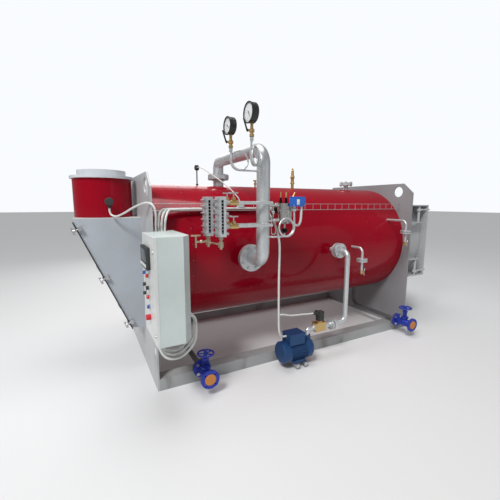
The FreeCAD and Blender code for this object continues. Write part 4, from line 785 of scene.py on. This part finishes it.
@dataclass
class Siphons:
    """Pigtail tubes that carry the two gauges and the pressure switch."""

    radius: float = 7.5
    shift: float = 17.0
    steps: int = 40

    def pigtail(self, start: Vector, way: Vector, run: float, ring: float, top: float,
                side: Vector) -> list[Vector]:
        """The path of one siphon, in millimetres.

        Args:
            start: Where the tube leaves the column.
            way: The level direction of its run.
            run: The run's length to the riser.
            ring: The radius of the full turn.
            top: The riser's top.
            side: The way each turn is shifted off the one before.

        Returns:
            Points close enough together to bend smoothly.
        """
        centre = start + way * (run - ring) + Vector((0, 0, ring))
        foot = centre - Vector((0, 0, ring))
        path = [start.lerp(foot, share / 6) for share in range(6)]
        turn = math.tau * 1.25
        count = int(self.steps * 1.25)
        for step in range(count + 1):
            angle = turn * step / count
            drift = side * self.shift * (min(angle / math.tau, 1.0) - 0.5)
            drop = Vector((0, 0, math.cos(angle) * ring))
            path.append(centre + way * math.sin(angle) * ring - drop + drift)
        last = path[-1]
        path += [Vector((last.x, last.y, last.z + (top - last.z) * share / 8)) for share in range(1, 9)]
        near = side * self.shift * 0.5
        for index in range(6):
            path[index] = path[index] - near * (index / 6)
        for back in range(1, 9):
            path[-back] = path[-back] - near * ((9 - back) / 8)
        return [point * MM for point in path]

    def build(self) -> None:
        """Makes the three siphons as one piece."""
        form = Form()
        steep = Vector((-math.sin(math.radians(50)), -math.cos(math.radians(50)), 0.0))
        small = self.pigtail(Vector((793, -946, 1750)), WEST, 235, 70, 1905, FRONT)
        large_start = Vector((837, -946, 1776)) + steep * 44
        large = self.pigtail(large_start, steep, 201, 66, 1966, Vector((-steep.y, steep.x, 0)) * -1)
        switch = self.pigtail(Vector((880, -1036, 1238)), Vector((1, 0, 0)), 196, 72, 1440, FRONT)
        entry = [mm(867, -986 - 6 * step, 1238) for step in range(7)] + [mm(870, -1032, 1238)]
        for path in (small, large, entry + switch):
            form.tube(path, self.radius * MM)
        nut = [(0.010, -0.030), (0.0145, -0.028), (0.0145, -0.002), (0.010, 0.0)]
        for end in (small[-1], large[-1]):
            form.turned(nut, end, UP, 6)
        union = [(0.012, 0.0), (0.014, 0.001), (0.020, 0.008), (0.020, 0.022), (0.012, 0.028),
                 (0.012, 0.0395)]
        form.turned(union, mm(1076, -1036, 1437), UP, 24)
        joined_on(form.object("siphon_tubes", Finishes.pipe), Body.BOILER, "silver_pipe", "siphons")


@dataclass
class DialGauge:
    """A gauge's white dial with its ticks, needle and hub."""

    name: str
    place: Point
    radius: float
    needle_angle: float = 215.0
    tick_count: int = 28
    tick_step: float = 10.0
    tick_lift: float = 0.0014

    def build(self, repeater: Repeater) -> None:
        """Adds the dial's pieces in front of the case's recess."""
        centre = mm(*self.place)
        rim = self.radius * MM
        face = Form()
        face.turned([(rim - 0.001, 0.0), (rim, 0.0004), (rim - 0.0006, 0.0012), (rim * 0.5, 0.0013)],
                    centre, WEST, 64)
        joined_on(face.object(f"{self.name}_face", Finishes.dial), Body.BOILER, "gauge_black")
        tick = Form()
        outer = self.radius * 0.92
        tick.block(mm(outer - 6.5, -0.55, 0), mm(outer, 0.55, 0.5), 0.0001, 1)
        ticks = tick.object(f"{self.name}_ticks", Finishes.gauge_black)
        lifted = centre + WEST * self.tick_lift
        turn = Matrix.Rotation(math.radians(-90), 4, "Y") @ Matrix.Rotation(math.radians(-45), 4, "Z")
        place = Matrix.Translation(lifted) @ turn
        repeater.repeat(ticks, self.tick_count, Finishes.gauge_black,
                        turn=(0.0, 0.0, math.radians(self.tick_step)), place=place)
        joined_on(ticks, Body.BOILER, "gauge_black")
        pointer = Form()
        angle = math.radians(self.needle_angle)
        way = Vector((0, math.cos(angle), math.sin(angle)))
        side = Vector((0, -way.z, way.y))
        front = centre + WEST * 0.0024
        tip = way * self.radius * 0.78 * MM
        tail = way * self.radius * -0.25 * MM
        outline = [front + tail + side * 0.0026, front + tail - side * 0.0026, front + tip - side * 0.0006,
                   front + tip + side * 0.0006]
        pointer.rings([outline, [point + WEST * 0.0006 for point in outline]])
        pointer.turned([(0.0045, 0.0), (0.005, 0.0006), (0.004, 0.0022)], lifted, WEST, 24)
        joined_on(pointer.object(f"{self.name}_needle", Finishes.gauge_black), Body.BOILER, "gauge_black")


@dataclass
class Tray:
    """The wire basket tray and the junction box in it."""

    front: float = -572.5
    low: float = 1438.5
    high: float = 1497.5
    wire: float = 2.4
    start: float = 15.0
    end: float = 2965.0
    count: int = 28
    bays: int = 30
    corner: float = 6.0

    def build(self, repeater: Repeater) -> None:
        """Makes the long wires, the repeated rungs and the box."""
        wires = Form()
        for depth, height in ((self.front, self.low), (self.front, self.high), (-510.5, self.low)):
            wires.rod(mm(self.start, depth, height), mm(self.end, depth, height), self.wire * MM, 10)
        joined_on(wires.object("tray_wires", Finishes.steel), Body.BOILER, "plain_steel")
        rung = Form()
        path = [Vector((0, self.front, self.high)), Vector((0, self.front, self.low + self.corner))]
        for step in range(1, 5):
            angle = math.radians(22.5 * step)
            path.append(Vector((0, self.front + self.corner * (1 - math.cos(angle)),
                                self.low + self.corner * (1 - math.sin(angle)))))
        path += [Vector((0, -540, self.low)), Vector((0, -502, self.low))]
        rung.tube([point * MM for point in path], self.wire * MM, 8)
        rungs = rung.object("tray_rungs", Finishes.steel)
        pitch = (self.end - self.start) / self.bays
        first = self.start + pitch * 2.5 + 2.5
        repeater.repeat(rungs, self.count, Finishes.steel, step=(pitch * MM, 0.0, 0.0),
                        place=Matrix.Translation(mm(first, 0, 0)))
        joined_on(rungs, Body.BOILER, "plain_steel", "cable_tray")
        box = Form()
        box.block(mm(800, -569, 1466), mm(860, -527, 1484), 0.002)
        box.block(mm(798.5, -570.5, 1483), mm(861.5, -525.5, 1490), 0.0015)
        gland = [(0.008, -0.004), (0.009, -0.003), (0.009, 0.001)]
        box.turned(gland, mm(822, -549, 1489), UP, 6)
        joined_on(box.object("tray_box", Finishes.cabinet), Body.BOILER, "cabinet_paint")


@dataclass
class DoorPanel:
    """The display, lamps, switches and stop button on the cabinet's door."""

    face: float = -68.0
    lamps: tuple[tuple[float, float, str], ...] = (
        (-960, 1010, "red"), (-960, 925, "black"), (-960, 860, "red"), (-960, 790, "blue"),
        (-840, 1010, "blue"), (-840, 925, "black"), (-840, 860, "black"))

    def knob(self, form: Form, across: float, height: float, radius: float, proud: float) -> None:
        """Adds one crowned lens or cap on the door."""
        base = mm(self.face, across, height)
        form.turned([(radius * MM, 0.0), (radius * MM, (proud - 5) * MM),
                     (radius * 0.86 * MM, (proud - 1.5) * MM), (radius * 0.5 * MM, proud * MM)],
                    base, WEST, 32)

    def build(self) -> None:
        """Makes the panel's pieces by colour."""
        forms = {"red": Form(), "blue": Form(), "black": Form()}
        collars = Form()
        ring = [(0.0165, 0.0), (0.017, 0.001), (0.017, 0.006), (0.0145, 0.0075)]
        for across, height, colour in self.lamps:
            collars.turned(ring, mm(self.face, across, height), WEST, 32)
            self.knob(forms[colour], across, height, 13.0, 24.0)
            if colour == "black":
                forms[colour].block(mm(self.face - 25.5, across - 4, height - 12),
                                    mm(self.face - 18, across + 4, height + 12), 0.0015)
        self.knob(forms["red"], -960, 715, 20.0, 34.0)
        for height in (1193, 640):
            self.knob(collars, -1142, height, 11.0, 10.0)
        black = forms.pop("black")
        black.block(mm(self.face - 26, -1035, 1060), mm(self.face, -805, 1210), 0.004)
        joined_on(black.object("door_selectors", Finishes.black), Body.CABINET_DOOR, "control_black",
                  "door_controls")
        for colour, finish in (("red", Finishes.red_lens), ("blue", Finishes.blue_lens)):
            lamps = forms[colour].object(f"door_lamps_{colour}", finish)
            joined_on(lamps, Body.CABINET_DOOR, "control_black")
        joined_on(collars.object("door_collars", Finishes.steel), Body.CABINET_DOOR, "plain_steel")
        screen = Form()
        screen.block(mm(self.face - 27, -1020, 1110), mm(self.face - 24, -820, 1195), 0.001)
        joined_on(screen.object("door_screen", Finishes.screen), Body.CABINET_DOOR, "control_black")
        keys = Form()
        for step in range(5):
            across = -1010 + 44 * step
            keys.block(mm(self.face - 29, across, 1074), mm(self.face - 25, across + 26, 1096), 0.001)
        joined_on(keys.object("door_keys", Finishes.tag), Body.CABINET_DOOR, "control_black")


@dataclass
class SwitchBox:
    """The pressure switch with its lid line, bare patch and screws."""

    low: Point = (1038, -1070, 1477)
    high: Point = (1164, -1018, 1555)

    def build(self) -> None:
        """Makes the switch's box, lid and patch."""
        box = Form()
        box.block(mm(*self.low), mm(self.high[0], self.high[1], 1546), 0.004)
        box.block(mm(self.low[0], self.low[1], 1547), mm(*self.high), 0.004)
        box.block(mm(1042, -1068, 1545), mm(1160, -1020, 1548), 0.001)
        joined_on(box.object("switch_box", Finishes.switch), Body.BOILER, "switch_blue", "pressure_switch")
        patch = Form()
        patch.block(mm(1078, -1070.8, 1492), mm(1104, -1069.2, 1534), 0.0003)
        joined_on(patch.object("switch_patch", Finishes.tag), Body.BOILER, "switch_blue")
        screws = Form()
        head = [(0.0042, 0.0), (0.0042, 0.0009), (0.003, 0.0014)]
        for across in (1048, 1154):
            screws.turned(head, mm(across, -1069.6, 1488), FRONT, 16)
        joined_on(screws.object("switch_screws", Finishes.steel), Body.BOILER, "plain_steel")


@dataclass
class SmallTrim:
    """Bare tags and the rivets of the jacket's seams."""

    jacket_radius: float = 650.0
    jacket_height: float = 1030.0
    lap_angle: float = -28.5
    lap_count: int = 24
    lap_step: float = 120.0
    ring_count: int = 30
    ring_step: float = 12.0

    def tags(self) -> None:
        """Two bare tags on the flue end plate."""
        form = Form()
        form.block(mm(-1.0, -655, 1560), mm(-0.05, -600, 1675), 0.0003)
        form.block(mm(-1.0, -726, 300), mm(-0.05, -668, 350), 0.0003)
        joined_on(form.object("plate_tags", Finishes.tag), Body.BOILER, "grey_paint")

    def rivets(self, repeater: Repeater) -> None:
        """Rivets along the lap seam and round the seam near each end."""
        angle = math.radians(self.lap_angle)
        normal = Vector((0, -math.cos(angle), math.sin(angle)))
        start = mm(90, 0, self.jacket_height) + normal * self.jacket_radius * MM
        rivet = self.rivet("lap_rivets", start, normal)
        repeater.repeat(rivet, self.lap_count, Finishes.rivet, step=(self.lap_step * MM, 0.0, 0.0))
        joined_on(rivet, Body.BOILER, "plain_steel")
        base = Vector((0.0, -self.jacket_radius * MM, 0.0))
        for name, across in (("left", 348.0), ("right", 2408.0)):
            ring = self.rivet(f"ring_rivets_{name}", base, FRONT)
            place = Matrix.Translation(mm(across, 0, self.jacket_height))
            repeater.repeat(ring, self.ring_count, Finishes.rivet,
                            turn=(math.radians(self.ring_step), 0.0, 0.0), place=place)
            joined_on(ring, Body.BOILER, "plain_steel")

    def rivet(self, name: str, base: Vector, way: Vector) -> bpy.types.Object:
        """One low domed rivet head."""
        form = Form()
        form.turned([(0.0045, -0.0005), (0.0045, 0.0004), (0.0032, 0.0014), (0.0012, 0.0019)], base, way, 12)
        return form.object(name, Finishes.rivet, 60.0)

    def build(self, repeater: Repeater) -> None:
        """Makes all the trim."""
        self.tags()
        self.rivets(repeater)


@dataclass
class Studio:
    """The pale floor and the soft lights."""

    floor_colour: Colour = (0.76, 0.76, 0.76)
    floor_roughness: float = 0.8
    sky_colour: Colour = (0.95, 0.97, 1.0)
    sky_light: float = 0.27
    sky_seen: float = 1.0
    lights: list[tuple[str, Point, Point, float, float]] = field(default_factory=lambda: [
        ("key", (-3.2, -3.4, 5.4), (1.0, 0.0, 0.9), 1.4, 150.0),
        ("fill", (4.8, -5.6, 2.6), (1.6, 0.0, 0.9), 3.6, 14.0),
        ("top", (0.6, -0.6, 5.4), (1.0, 0.0, 1.0), 2.4, 95.0),
        ("back", (1.6, 5.0, 3.6), (1.5, 0.0, 1.2), 3.5, 80.0),
    ])
    sun_place: Point = (-3.6, -3.1, 5.2)
    sun_strength: float = 1.35
    sun_softness: float = 12.0

    def sun(self) -> None:
        """A broad, even light over the whole floor."""
        data = bpy.data.lights.new("sun", "SUN")
        data.energy = self.sun_strength
        data.angle = math.radians(self.sun_softness)
        lamp = bpy.data.objects.new("sun", data)
        lamp.rotation_euler = (-Vector(self.sun_place)).to_track_quat("-Z", "Y").to_euler()
        bpy.context.scene.collection.objects.link(lamp)

    def floor(self) -> None:
        """A plain pale floor."""
        form = Form()
        form.block(Vector((-60, -60, -0.05)), Vector((64, 60, 0.0)), 0.001, 1)
        floor = form.object("floor", Plain("floor_plain", self.floor_colour, self.floor_roughness))

    def build(self) -> None:
        """Makes the floor, the lights and surroundings that look paler than the light they give."""
        self.floor()
        self.sun()
        for name, place, target, size, power in self.lights:
            data = bpy.data.lights.new(name, "AREA")
            data.size = size
            data.energy = power
            lamp = bpy.data.objects.new(name, data)
            lamp.location = place
            lamp.rotation_euler = (Vector(target) - Vector(place)).to_track_quat("-Z", "Y").to_euler()
            bpy.context.scene.collection.objects.link(lamp)
        world = bpy.data.worlds.new("surroundings")
        world.use_nodes = True
        tree = world.node_tree
        sky = tree.nodes["Background"]
        sky.inputs["Color"].default_value = (*self.sky_colour, 1.0)
        path = tree.nodes.new("ShaderNodeLightPath")
        strength = tree.nodes.new("ShaderNodeMapRange")
        strength.inputs["To Min"].default_value = self.sky_light
        strength.inputs["To Max"].default_value = self.sky_seen
        tree.links.new(path.outputs["Is Camera Ray"], strength.inputs["Value"])
        tree.links.new(strength.outputs[0], sky.inputs["Strength"])
        bpy.context.scene.world = world
        bpy.context.scene.view_settings.view_transform = "Standard"


def dress_frame() -> None:
    """Gives every CAD node that stays in view its finish."""
    for node, finish in NODE_FINISHES.items():
        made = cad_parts[node]
        made.data.materials.clear()
        made.data.materials.append(finish.material())


def main() -> None:
    """Builds the boiler's finishes and pieces in order."""
    logging.basicConfig(level=logging.INFO, format="%(name)s: %(message)s")
    Viewpoint().build()
    for lead in LEADS:
        lead.build()
    dress_frame()
    repeater = Repeater()
    Siphons().build()
    DialGauge("small_dial", (533.6, -946.0, 2060.0), 56.6).build(repeater)
    DialGauge("large_dial", (625.0, -1103.5, 2126.0), 64.6, 235.0).build(repeater)
    Tray().build(repeater)
    DoorPanel().build()
    SwitchBox().build()
    SmallTrim().build(repeater)
    Studio().build()


if __name__ == "__main__":
    main()
